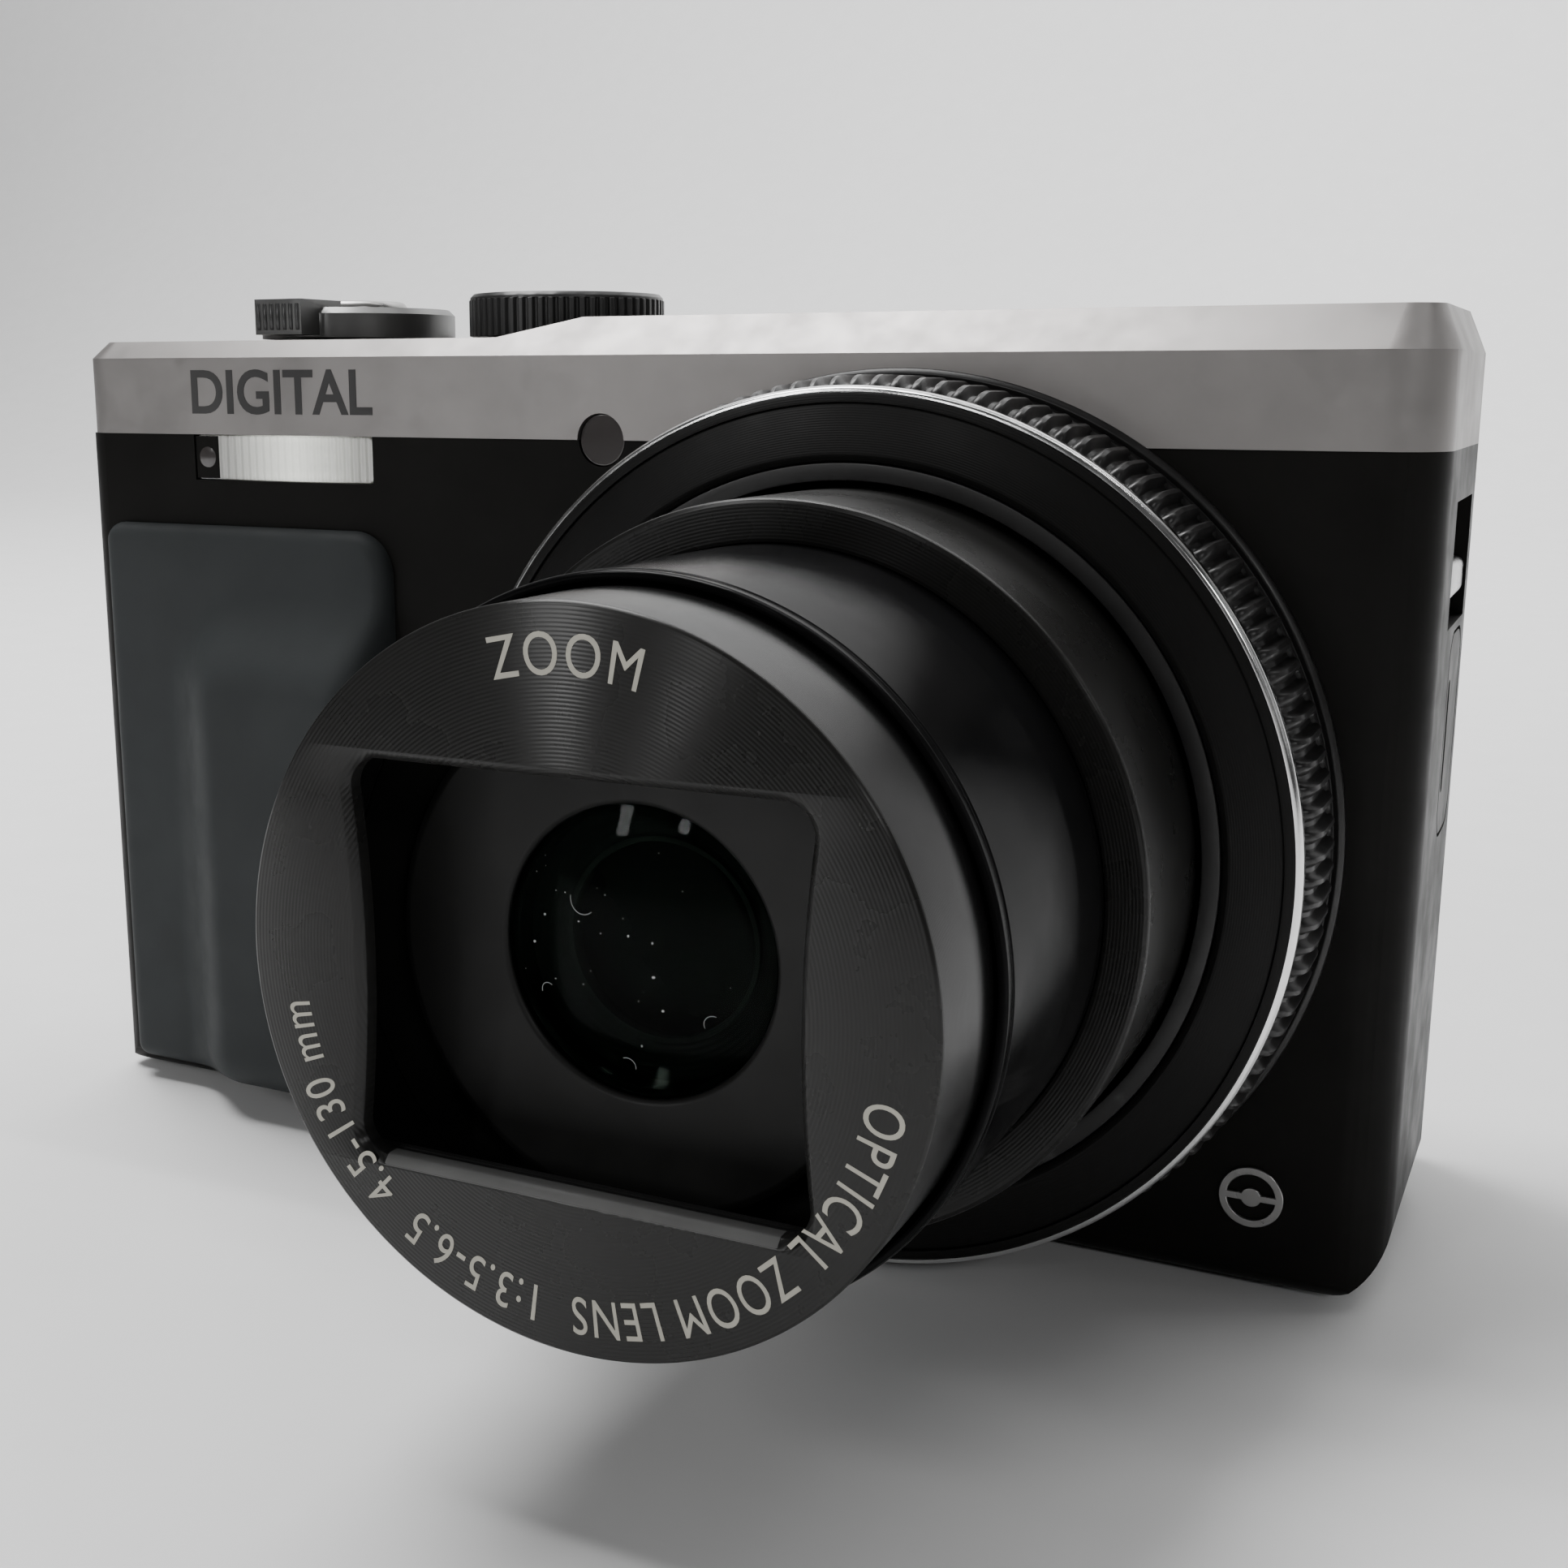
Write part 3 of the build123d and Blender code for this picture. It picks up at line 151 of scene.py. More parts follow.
def lathe(name, profile, steps, closed=True, centre=None, shape=None):
    """Surface of revolution round a Y axis from (radius, y) points in millimetres. The axis is the lens's
    unless centre gives another (x, z), and shape may change the radius at each step."""
    cx, cz = centre or (LENS_X, LENS_Z)
    bm = bmesh.new()
    rings = []
    for radius, y in profile:
        if radius < 1e-6:
            rings.append([bm.verts.new((cx * MM, y * MM, cz * MM))])
            continue
        ring = []
        for k in range(steps):
            turn = 2 * math.pi * k / steps
            r = shape(radius, y, k) if shape else radius
            point = Vector((cx + r * math.cos(turn), y, cz + r * math.sin(turn)))
            ring.append(bm.verts.new(point * MM))
        rings.append(ring)
    pairs = list(zip(rings, rings[1:]))
    if closed:
        pairs.append((rings[-1], rings[0]))
    for a, b in pairs:
        for k in range(steps):
            n = (k + 1) % steps
            corners = [a[k % len(a)], a[n % len(a)], b[n % len(b)], b[k % len(b)]]
            unique = list(dict.fromkeys(corners))
            if len(unique) > 2:
                bm.faces.new(unique)
    bmesh.ops.recalc_face_normals(bm, faces=bm.faces)
    mesh = mesh_of(name, bm)
    smooth(mesh)
    return new_object(name, mesh)


def softened(node, name, width):
    """Copy of a CAD node with its sharp edges rounded over by width millimetres."""
    angle = 28
    mesh = NODES[node].data.copy()
    bm = bmesh.new()
    bm.from_mesh(mesh)
    bmesh.ops.remove_doubles(bm, verts=bm.verts, dist=1e-6)
    bmesh.ops.dissolve_limit(bm, angle_limit=math.radians(0.6), verts=bm.verts, edges=bm.edges)
    bm.to_mesh(mesh)
    bm.free()
    obj = new_object(name, mesh)
    bevel = obj.modifiers.new("edge", "BEVEL")
    bevel.width = width * MM
    bevel.segments = 2
    bevel.limit_method = "ANGLE"
    bevel.angle_limit = math.radians(angle)
    bevel.harden_normals = True
    bevel.use_clamp_overlap = True
    smooth(mesh, angle)
    depsgraph = bpy.context.evaluated_depsgraph_get()
    final = bpy.data.meshes.new_from_object(obj.evaluated_get(depsgraph))
    obj.modifiers.clear()
    obj.data = final
    return obj


def plate(name, outer, holes):
    """Flat plate facing -Y between an outline and its holes. Each outline is a list of (y, loop of (x, z))
    from front to back, so a chamfer is a second loop. Loops of one outline have the same number of points."""
    bm = bmesh.new()
    outlines = [outer] + holes
    front, back = [], []
    for loops in outlines:
        rows = [[bm.verts.new((x * MM, y * MM, z * MM)) for x, z in loop] for y, loop in loops]
        for a, b in zip(rows, rows[1:]):
            for k in range(len(a)):
                n = (k + 1) % len(a)
                bm.faces.new((a[k], a[n], b[n], b[k])).smooth = True
        front.append(rows[0])
        back.append(rows[-1])
    for rows in (front, back):
        flat = [[Vector((v.co.x, v.co.z, 0)) for v in row] for row in rows]
        verts = [v for row in rows for v in row]
        for triangle in tessellate_polygon(flat):
            bm.faces.new([verts[i] for i in triangle])
    bmesh.ops.recalc_face_normals(bm, faces=bm.faces)
    mesh = mesh_of(name, bm)
    mesh.set_sharp_from_angle(angle=math.radians(40))
    return new_object(name, mesh)


def text_mesh(name, words, size, depth, spacing=1.0, weight=0.0):
    """Mesh of centred lettering in its own XY plane, in metres, with its depth along Z."""
    curve = bpy.data.curves.new(name, "FONT")
    curve.body = words
    curve.size = size * MM
    curve.space_character = spacing
    curve.align_x = "CENTER"
    curve.align_y = "CENTER"
    curve.extrude = depth * MM
    curve.offset = weight * MM
    curve.resolution_u = 6
    obj = bpy.data.objects.new(name, curve)
    bpy.context.scene.collection.objects.link(obj)
    bpy.context.view_layer.update()
    depsgraph = bpy.context.evaluated_depsgraph_get()
    mesh = bpy.data.meshes.new_from_object(obj.evaluated_get(depsgraph))
    bpy.data.objects.remove(obj)
    bpy.data.curves.remove(curve)
    mesh.name = name
    bm = bmesh.new()
    bm.from_mesh(mesh)
    bmesh.ops.remove_doubles(bm, verts=bm.verts, dist=1e-7)
    bmesh.ops.triangulate(bm, faces=[f for f in bm.faces if len(f.verts) > 4])
    bm.to_mesh(mesh)
    bm.free()
    return mesh


def ring_text(name, words, middle, radius, size, y, spacing=1.0, tall=1.2):
    """Lettering bent round the lens axis, tops outward, reading clockwise as seen from the front."""
    mesh = text_mesh(name, words, size, 0.012, spacing)
    for v in mesh.vertices:
        turn = math.radians(middle) - v.co.x / (radius * MM)
        out = radius * MM + v.co.y * tall
        v.co = (LENS_X * MM + out * math.cos(turn), y * MM - v.co.z, LENS_Z * MM + out * math.sin(turn))
    mesh.update()
    return new_object(name, mesh)


def front_text(name, words, x, z, size, y, spacing=1.0, weight=0.0):
    """Lettering on a face that looks along -Y."""
    mesh = text_mesh(name, words, size, 0.02, spacing, weight)
    for v in mesh.vertices:
        v.co = (x * MM + v.co.x, y * MM - v.co.z, z * MM + v.co.y)
    mesh.update()
    return new_object(name, mesh)


def rear_text(name, words, x, z, size, y):
    """Lettering on a face that looks along +Y."""
    mesh = text_mesh(name, words, size, 0.02)
    for v in mesh.vertices:
        v.co = (x * MM - v.co.x, y * MM + v.co.z, z * MM + v.co.y)
    mesh.update()
    return new_object(name, mesh)


def top_text(name, words, x, y, size, z, turn=0.0):
    """Lettering on a face that looks up."""
    mesh = text_mesh(name, words, size, 0.02)
    c, s = math.cos(turn), math.sin(turn)
    for v in mesh.vertices:
        v.co = (x * MM + v.co.x * c - v.co.y * s, y * MM + v.co.x * s + v.co.y * c, z * MM + v.co.z)
    mesh.update()
    return new_object(name, mesh)


# ---- materials ----


class Nodes:
    """Small builder for one material's node tree."""

    def __init__(self, name):
        self.material = bpy.data.materials.new(name)
        self.material.use_nodes = True
        self.tree = self.material.node_tree
        self.shader = self.tree.nodes["Principled BSDF"]
        self.place = self.add("ShaderNodeTexCoord").outputs["Object"]

    def add(self, kind, **settings):
        node = self.tree.nodes.new(kind)
        for key, value in settings.items():
            setattr(node, key, value)
        return node

    def join(self, output, target):
        self.tree.links.new(output, target)

    def noise(self, scale, detail, rough=0.55):
        node = self.add("ShaderNodeTexNoise")
        node.inputs["Scale"].default_value = scale
        node.inputs["Detail"].default_value = detail
        node.inputs["Roughness"].default_value = rough
        self.join(self.place, node.inputs["Vector"])
        return node.outputs["Fac"]

    def maths(self, kind, a, b=None, clamp=False):
        node = self.add("ShaderNodeMath", operation=kind, use_clamp=clamp)
        for socket, value in zip(node.inputs, (a, b)):
            if value is None:
                continue
            if isinstance(value, (int, float)):
                socket.default_value = value
            else:
                self.join(value, socket)
        return node.outputs[0]

    def ramp(self, source, low, high, from_low=0.35, from_high=0.65):
        node = self.add("ShaderNodeMapRange")
        node.inputs["From Min"].default_value = from_low
        node.inputs["From Max"].default_value = from_high
        node.inputs["To Min"].default_value = low
        node.inputs["To Max"].default_value = high
        self.join(source, node.inputs["Value"])
        return node.outputs["Result"]

    def mix(self, factor, a, b):
        node = self.add("ShaderNodeMix", data_type="RGBA")
        sockets = [s for s in node.inputs if s.type == "RGBA"]
        for socket, value in zip(sockets, (a, b)):
            if isinstance(value, tuple):
                socket.default_value = (*value, 1)
            else:
                self.join(value, socket)
        self.join(factor, node.inputs[0])
        return [s for s in node.outputs if s.type == "RGBA"][0]

    def bump(self, height, strength, distance, before=None):
        node = self.add("ShaderNodeBump")
        node.inputs["Strength"].default_value = strength
        node.inputs["Distance"].default_value = distance * MM
        self.join(height, node.inputs["Height"])
        if before:
            self.join(before, node.inputs["Normal"])
        return node.outputs["Normal"]

    def radius(self, centre):
        """Distance in metres from a Y axis through centre, an (x, z) in millimetres."""
        shift = self.add("ShaderNodeVectorMath", operation="SUBTRACT")
        shift.inputs[1].default_value = (centre[0] * MM, 0, centre[1] * MM)
        self.join(self.place, shift.inputs[0])
        flat = self.add("ShaderNodeVectorMath", operation="MULTIPLY")
        flat.inputs[1].default_value = (1, 0, 1)
        self.join(shift.outputs[0], flat.inputs[0])
        length = self.add("ShaderNodeVectorMath", operation="LENGTH")
        self.join(flat.outputs[0], length.inputs[0])
        return length.outputs["Value"]

    def axis(self, letter):
        split = self.add("ShaderNodeSeparateXYZ")
        self.join(self.place, split.inputs[0])
        return split.outputs[letter]


def surface(name, colour, rough, metal=0.0, tint=0.12, rough_spread=0.06, grain=2200.0, grain_depth=0.004,
            grain_strength=0.25, grooves=None, dust=0.0, wear=None, coat=0.0, specular=0.5, turned=0.0):
    """Opaque material: colour and roughness vary softly, a fine grain or turned grooves give the bump, dust
    specks lie on it, and wear lightens its convex edges. Grooves are (pitch, depth, strength, "Y" along the
    lens axis or "R" round it), and turned stretches the highlights across them."""
    n = Nodes(name)
    broad = n.noise(95.0, 4.0)
    lighter = tuple(min(1.0, c * (1 + tint)) for c in colour)
    darker = tuple(c * (1 - tint) for c in colour)
    tone = n.mix(n.ramp(broad, 0, 1), darker, lighter)
    fine = n.noise(grain, 2.0)
    rough_map = n.ramp(n.noise(240.0, 5.0), rough - rough_spread, rough + rough_spread)
    normal = n.bump(fine, grain_strength, grain_depth)
    if grooves:
        pitch, depth, strength, along = grooves
        place = n.axis("Y") if along == "Y" else n.radius((LENS_X, LENS_Z))
        wave = n.maths("SINE", n.maths("MULTIPLY", place, 2 * math.pi / (pitch * MM)))
        uneven = n.ramp(n.noise(420.0, 2.0), 0.7, 1.0)
        normal = n.bump(n.maths("MULTIPLY", wave, uneven), strength, depth, normal)
    if wear:
        edge = n.add("ShaderNodeNewGeometry").outputs["Pointiness"]
        spots = n.ramp(n.noise(900.0, 4.0), 0, 1, 0.45, 0.7)
        spotted = n.maths("MULTIPLY", n.ramp(edge, 0, 1, 0.53, 0.62), spots)
        tone = n.mix(n.maths("MULTIPLY", spotted, 0.8, True), tone, wear)
    if dust:
        cells = n.add("ShaderNodeTexVoronoi")
        cells.inputs["Scale"].default_value = 300.0
        n.join(n.place, cells.inputs["Vector"])
        reach = n.ramp(n.noise(60.0, 2.0), 0.0, 0.10, 0.56, 0.8)
        speck = n.maths("LESS_THAN", cells.outputs["Distance"], reach)
        haze = n.ramp(n.noise(35.0, 6.0, 0.7), 0.0, 0.35, 0.5, 0.8)
        dusty = n.maths("MULTIPLY", n.maths("MAXIMUM", speck, n.maths("MULTIPLY", haze, 0.12)), dust, True)
        tone = n.mix(dusty, tone, (0.45, 0.44, 0.42))
        rough_map = n.maths("ADD", rough_map, n.maths("MULTIPLY", dusty, 0.4), True)
    n.join(tone, n.shader.inputs["Base Color"])
    n.join(rough_map, n.shader.inputs["Roughness"])
    n.join(normal, n.shader.inputs["Normal"])
    n.shader.inputs["Metallic"].default_value = metal
    n.shader.inputs["Specular IOR Level"].default_value = specular
    n.shader.inputs["Coat Weight"].default_value = coat
    n.shader.inputs["Coat Roughness"].default_value = 0.08
    if turned:
        n.shader.inputs["Anisotropic"].default_value = turned
        n.shader.inputs["Anisotropic Rotation"].default_value = 0.25
        tangent = n.add("ShaderNodeTangent", direction_type="RADIAL", axis="Y")
        n.join(tangent.outputs[0], n.shader.inputs["Tangent"])
    return n.material


def clear(name, colour, rough, ior, ribs=0.0, solid=0.0):
    """Transparent glass or plastic, with faint smears. Ribs is the pitch of moulded ribs, and solid makes it
    partly opaque with a painted glow in the middle of the flash: emission that stands in for light."""
    n = Nodes(name)
    smeared = n.mix(n.ramp(n.noise(160.0, 4.0), 0, 1), tuple(c * 0.93 for c in colour), colour)
    n.join(smeared, n.shader.inputs["Base Color"])
    rough_map = n.ramp(n.noise(70.0, 5.0), max(0.0, rough - 0.01), rough + 0.02)
    n.join(rough_map, n.shader.inputs["Roughness"])
    normal = n.bump(n.noise(1500.0, 2.0), 0.04, 0.002)
    # Painted glow: emission across the middle of the flash window, fading over 6.5 mm to each side, stands in
    # for light on the unlit flash.
    if solid:
        off = n.maths("ABSOLUTE", n.maths("SUBTRACT", n.axis("X"), PAINTED_GLOW_X * MM))
        n.join(n.ramp(off, 0.55, 0.0, 0.0, 6.5 * MM), n.shader.inputs["Emission Strength"])
        n.shader.inputs["Emission Color"].default_value = (0.9, 0.92, 0.86, 1)
    if ribs:
        wave = n.maths("SINE", n.maths("MULTIPLY", n.axis("X"), 2 * math.pi / (ribs * MM)))
        normal = n.bump(wave, 0.9, 0.12, normal)
    n.join(normal, n.shader.inputs["Normal"])
    n.shader.inputs["Transmission Weight"].default_value = 1.0 - solid
    n.shader.inputs["IOR"].default_value = ior
    return n.material


M = {
    "silver": surface("silver_paint", (0.265, 0.252, 0.246), 0.40, metal=0.8, tint=0.05, grain=4200.0,
                      grain_depth=0.006, grain_strength=0.3),
    "body": surface("satin_black", (0.0080, 0.0076, 0.0070), 0.40, tint=0.15, grain=2600.0, grain_depth=0.005,
                    dust=0.06, specular=0.06),
    "rubber": surface("grip_rubber", (0.034, 0.037, 0.038), 0.60, tint=0.08, grain=3400.0, grain_depth=0.02,
                      grain_strength=0.45, specular=0.10),
    "turned": surface("turned_black", (0.012, 0.0118, 0.0112), 0.28, tint=0.04, rough_spread=0.02,
                      grooves=(0.22, 0.006, 0.8, "R"), specular=0.25, turned=0.85),
    "satin_ring": surface("ring_face_black", (0.009, 0.0088, 0.0085), 0.36, tint=0.05, rough_spread=0.03,
                          grooves=(0.16, 0.006, 0.5, "R"), dust=0.03, specular=0.12, turned=0.6),
    "barrel": surface("barrel_black", (0.008, 0.008, 0.008), 0.24, tint=0.08, rough_spread=0.03,
                      grooves=(0.14, 0.003, 0.4, "Y"), dust=0.12, specular=0.19),
    "gloss": surface("gloss_black", (0.0065, 0.0065, 0.0067), 0.12, tint=0.08, rough_spread=0.02,
                     grooves=(0.12, 0.002, 0.3, "Y"), dust=0.20, specular=0.03),
    "knurl": surface("knurl_black", (0.012, 0.0115, 0.0115), 0.36, tint=0.2, grain_depth=0.008, dust=0.25,
                     wear=(0.08, 0.08, 0.08), specular=0.4),
    "trim": surface("bright_trim", (0.80, 0.80, 0.80), 0.18, metal=1.0, tint=0.05,
                    grooves=(0.05, 0.002, 0.4, "R")),
    "inner": surface("inner_black", (0.006, 0.006, 0.006), 0.6, tint=0.3,
                     grooves=(0.35, 0.02, 0.5, "R"), specular=0.15),
    "cone": surface("retainer_grey", (0.010, 0.010, 0.0095), 0.45, tint=0.15, dust=0.15, specular=0.2),
    "blade": surface("blade_black", (0.03, 0.03, 0.03), 0.38, metal=0.3, tint=0.15, specular=0.3),
    "ink": surface("ring_ink", (0.40, 0.385, 0.33), 0.55, tint=0.06),
    "mark": surface("strip_ink", (0.035, 0.034, 0.034), 0.45, tint=0.15, specular=0.3),
    "lint": surface("lint", (0.55, 0.56, 0.56), 0.7, tint=0.1),
    "white_ink": surface("white_ink", (0.50, 0.50, 0.50), 0.5, tint=0.05),
    "red_ink": surface("red_ink", (0.40, 0.02, 0.02), 0.4, tint=0.1),
    "dial": surface("dial_silver", (0.34, 0.335, 0.33), 0.3, metal=0.85, tint=0.08),
    "dial_grey": surface("lever_grey", (0.13, 0.13, 0.128), 0.34, metal=0.8, tint=0.1),
    # Light grey for the window's lower liner: partly a greyer finish, partly painted light for the highlight
    # its upward faces catch from above.
    "sill": surface("window_sill", (0.11, 0.11, 0.108), 0.5, tint=0.2, grain_depth=0.02, specular=0.3),
    "dial_dark": surface("dial_knurl", (0.05, 0.05, 0.05), 0.36, metal=0.6, tint=0.08),
    "button": surface("button_black", (0.011, 0.011, 0.011), 0.32, tint=0.2, dust=0.1, specular=0.35),
    "steel": surface("plain_steel", (0.52, 0.52, 0.52), 0.3, metal=1.0, tint=0.08),
    "reflector": surface("reflector", (0.88, 0.88, 0.84), 0.25, metal=0.6, tint=0.04),
    "board": surface("board_green", (0.02, 0.12, 0.05), 0.45, tint=0.3),
    "sleeve": surface("battery_sleeve", (0.04, 0.04, 0.05), 0.5, tint=0.2),
    "acetal": surface("acetal", (0.72, 0.72, 0.68), 0.45, tint=0.06),
    "screen": surface("screen_black", (0.006, 0.006, 0.007), 0.08, tint=0.2, coat=0.6, dust=0.15,
                      specular=0.4),
    "deep_glass": surface("deep_glass", (0.0012, 0.0020, 0.0016), 0.05, tint=0.2, specular=0.04),
    "glass": clear("lens_glass", (0.36, 0.46, 0.40), 0.0, 1.10),
    # The flash window carries a painted glow in its middle.
    "window": clear("flash_window", (0.97, 0.97, 0.93), 0.32, 1.49, ribs=0.75, solid=0.6),
    "smoke": surface("lamp_smoke", (0.045, 0.040, 0.039), 0.14, tint=0.1, coat=0.5, specular=0.6),
}

# ---- case ----
for node, label, width, material, slot in (
        ("front_cover", "front_skin", 0.3, "body", "black_body"),
        ("rear_cover", "rear_skin", 0.4, "body", "black_body"),
        ("top_cover", "top_skin", 0.14, "silver", "silver_paint"),
        ("thumb_rest", "thumb_pad", 0.4, "rubber", "rubber_pad"),
        ("front_emblem", "badge", 0.08, "dial", "bright_trim"),
        ("flash_window", "flash_pane", 0.12, "window", "clear_window"),
        ("lamp_window", "lamp_pane", 0.12, "smoke", "smoke_window"),
        ("eyecup", "eye_rubber", 0.5, "rubber", "rubber_pad"),
        ("strap_bar", "strap_post", 0.25, "steel", "steel")):
    finish_piece(softened(node, label, width), "root", slot, M[material], node)

# The grip is a rounded pad with a finger ridge that arches over near its top.
grip_low, grip_high = span("grip_pad")
PAD_PROUD, RIDGE_PROUD = 1.6, 6.2
CORNERS = {(-1, -1): 1.4, (-1, 1): 1.6, (1, -1): 1.6, (1, 1): 3.6}


def rounded(t):
    """Quarter-round from 0 to 1."""
    t = max(0.0, min(1.0, t))
    return math.sqrt(1 - (1 - t) ** 2)


def depth_inside(x, z, x0, x1, z0, z1, radius):
    """Distance in from the edge of a rounded rectangle."""
    qx = abs(x - (x0 + x1) / 2) - (x1 - x0) / 2 + radius
    qz = abs(z - (z0 + z1) / 2) - (z1 - z0) / 2 + radius
    return radius - math.hypot(max(qx, 0), max(qz, 0)) - min(max(qx, qz), 0)


def grip_proud(x, z, edge):
    """How far the grip stands ahead of the cover, where edge is the distance in from the pad's outline."""
    arch = depth_inside(x, z, -46.5, -10.0, -30.0, 45.5, 9.0)
    ridge = smoothstep(arch / 8.5) * rounded((grip_high.x - x) / 3.2) * rounded((z - grip_low.z) / 4.0)
    return PAD_PROUD * rounded(edge / 1.5) + (RIDGE_PROUD - PAD_PROUD) * ridge


def graded(low, high):
    """Places between two ends, half a millimetre apart and closer together near each end."""
    near = [0, 0.02, 0.07, 0.15, 0.27, 0.43, 0.64, 0.9, 1.2, 1.6, 2.05]
    length = high - low - 2 * near[-1]
    count = round(length / 0.5)
    inner = [low + near[-1] + length * k / count for k in range(1, count)]
    return [low + d for d in near] + inner + [high - d for d in reversed(near)]


def grip_mesh():
    """Front surface of the grip, with its rim carried back into the cover."""
    bm = bmesh.new()
    mid_x, mid_z = (grip_low.x + grip_high.x) / 2, (grip_low.z + grip_high.z) / 2
    half_w, half_h = (grip_high.x - grip_low.x) / 2, (grip_high.z - grip_low.z) / 2
    rows = []
    for z in graded(grip_low.z, grip_high.z):
        row = []
        for x in graded(grip_low.x, grip_high.x):
            side = (1 if x > mid_x else -1, 1 if z > mid_z else -1)
            radius = CORNERS[side]
            a = abs(x - mid_x) - half_w + radius
            b = abs(z - mid_z) - half_h + radius
            px, pz = x, z
            if a > 0 and b > 0:
                pull = max(a, b) / math.hypot(a, b)
                px = mid_x + side[0] * (half_w - radius + a * pull)
                pz = mid_z + side[1] * (half_h - radius + b * pull)
            edge = depth_inside(px, pz, grip_low.x, grip_high.x, grip_low.z, grip_high.z, radius)
            proud = grip_proud(px, pz, edge) if edge > 0.001 else -0.2
            row.append(bm.verts.new((px * MM, (SKIN_Y - proud) * MM, pz * MM)))
        rows.append(row)
    skin(bm, rows)
    mesh = mesh_of("grip_skin", bm)
    mesh.shade_smooth()
    return new_object("grip_skin", mesh)


finish_piece(grip_mesh(), "root", "rubber_pad", M["rubber"], "grip_pad")

# A dark end of the flash window holds the light sensor.
mask_x = flash_low.x + 1.25
MASK_W, MASK_H = 1.2, 1.75                  # half sizes
mask_loop = [(mask_x + dx, FLASH_Z + dz)
             for dx, dz in ((-MASK_W, -MASK_H), (MASK_W, -MASK_H), (MASK_W, MASK_H), (-MASK_W, MASK_H))]
mask = plate("flash_mask", [(flash_low.y - 0.03, mask_loop), (flash_low.y + 0.2, mask_loop)], [])
finish_piece(mask, "root", "black_inner", M["body"])
sensor_profile = [(0, -0.12), (0.5, -0.1), (0.85, -0.04), (0.95, 0.05), (0.95, 0.15), (0, 0.15)]
sensor = lathe("light_sensor", sensor_profile, 48, closed=False, centre=(mask_x, FLASH_Z))
sensor.data.transform(Matrix.Translation((0, flash_low.y * MM, 0)))
finish_piece(sensor, "root", "clear_window", M["smoke"])

word = front_text("strip_word", "DIGITAL", -34.3, 61.4, 5.0, STRIP_Y - 0.01, 1.0, 0.09)
finish_piece(word, "root", "black_anodised", M["mark"])

# ---- moving doors and controls ----
for body, node, label, width, material, slot in (
        ("battery_door", "battery_door", "door_panel", 0.3, "body", "black_body"),
        ("battery_latch", "battery_latch", "latch_tab", 0.15, "body", "black_body"),
        ("terminal_door", "terminal_door", "port_cover", 0.3, "body", "black_body"),
        ("zoom_lever", "zoom_lever", "lever_disc", 0.2, "dial_grey", "dial_metal"),
        ("shutter_button", "shutter_button", "shutter_cap", 0.15, "dial", "dial_metal"),
        ("mode_dial", "mode_dial", "mode_knob", 0.08, "dial_dark", "dial_metal"),
        ("power_button", "power_button", "power_cap", 0.2, "dial", "dial_metal"),
        ("playback_button", "playback_button", "playback_cap", 0.25, "button", "black_body"),
        ("menu_button", "menu_button", "menu_cap", 0.25, "button", "black_body"),
        ("delete_button", "delete_button", "delete_cap", 0.25, "button", "black_body"),
        ("display_button", "display_button", "display_cap", 0.25, "button", "black_body"),
        ("movie_button", "movie_button", "movie_cap", 0.2, "button", "black_body"),
        ("control_dial", "control_dial", "wheel", 0.1, "dial_dark", "black_anodised"),
        ("dial_button", "dial_button", "wheel_cap", 0.25, "button", "black_body"),
        ("dioptre_dial", "dioptre_dial", "dioptre_knob", 0.12, "button", "black_body"),
        ("screen", "screen_shell", "screen_frame", 0.45, "body", "black_body"),
        ("screen", "screen_glass", "screen_pane", 0.15, "screen", "screen_glass")):
    finish_piece(softened(node, label, width), body, slot, M[material], node)

# ---- lens: fixed rim, control ring ----


def frame_y(node, which):
    """Front (0) or rear (1) of a node along Y, in millimetres."""
    return span(node)[which].y


RIM_R = (span("lens_rim")[1].x - span("lens_rim")[0].x) / 2
RING_R = (span("control_ring_trim")[1].x - span("control_ring_trim")[0].x) / 2 + 0.1
KNURL_R = span("control_ring")[1].x - LENS_X
SLEEVE_R = 25.6
ring_front = frame_y("control_ring_face", 0)
trim_front = frame_y("control_ring_trim", 0)
knurl_back = frame_y("control_ring", 1)
rim_front = SKIN_Y - 1.0

rim_profile = rounded_profile(
    [(SLEEVE_R - 1.2, SKIN_Y + 1.7), (RIM_R, SKIN_Y + 0.01), (RIM_R, SKIN_Y - 0.45),
     (RIM_R - 0.35, SKIN_Y - 0.72), (RIM_R - 0.75, SKIN_Y - 0.55), (RIM_R - 0.95, rim_front),
     (SLEEVE_R + 0.02, rim_front), (SLEEVE_R, frame_y("lens_rim", 0)),
     (SLEEVE_R - 1.2, frame_y("lens_rim", 0))], 0.12)
rim = lathe("rim", rim_profile, 360)
finish_piece(rim, "root", "black_anodised", M["knurl"], "lens_rim")

KNURLS = 130
PER_TOOTH = 10


def knurled(radius, y, k):
    """Outer radius of the control ring: rounded teeth that start behind a smooth band."""
    if radius < KNURL_R - 1.4:
        return radius
    wave = math.cos(2 * math.pi * k / PER_TOOTH)
    tooth = max(-1.0, min(1.0, 1.7 * wave))
    start = smoothstep((y - (trim_front + 1.5)) / 0.5)
    end = smoothstep((knurl_back - 0.15 - y) / 0.3)
    return radius - 0.28 * start * end * (1 - tooth)


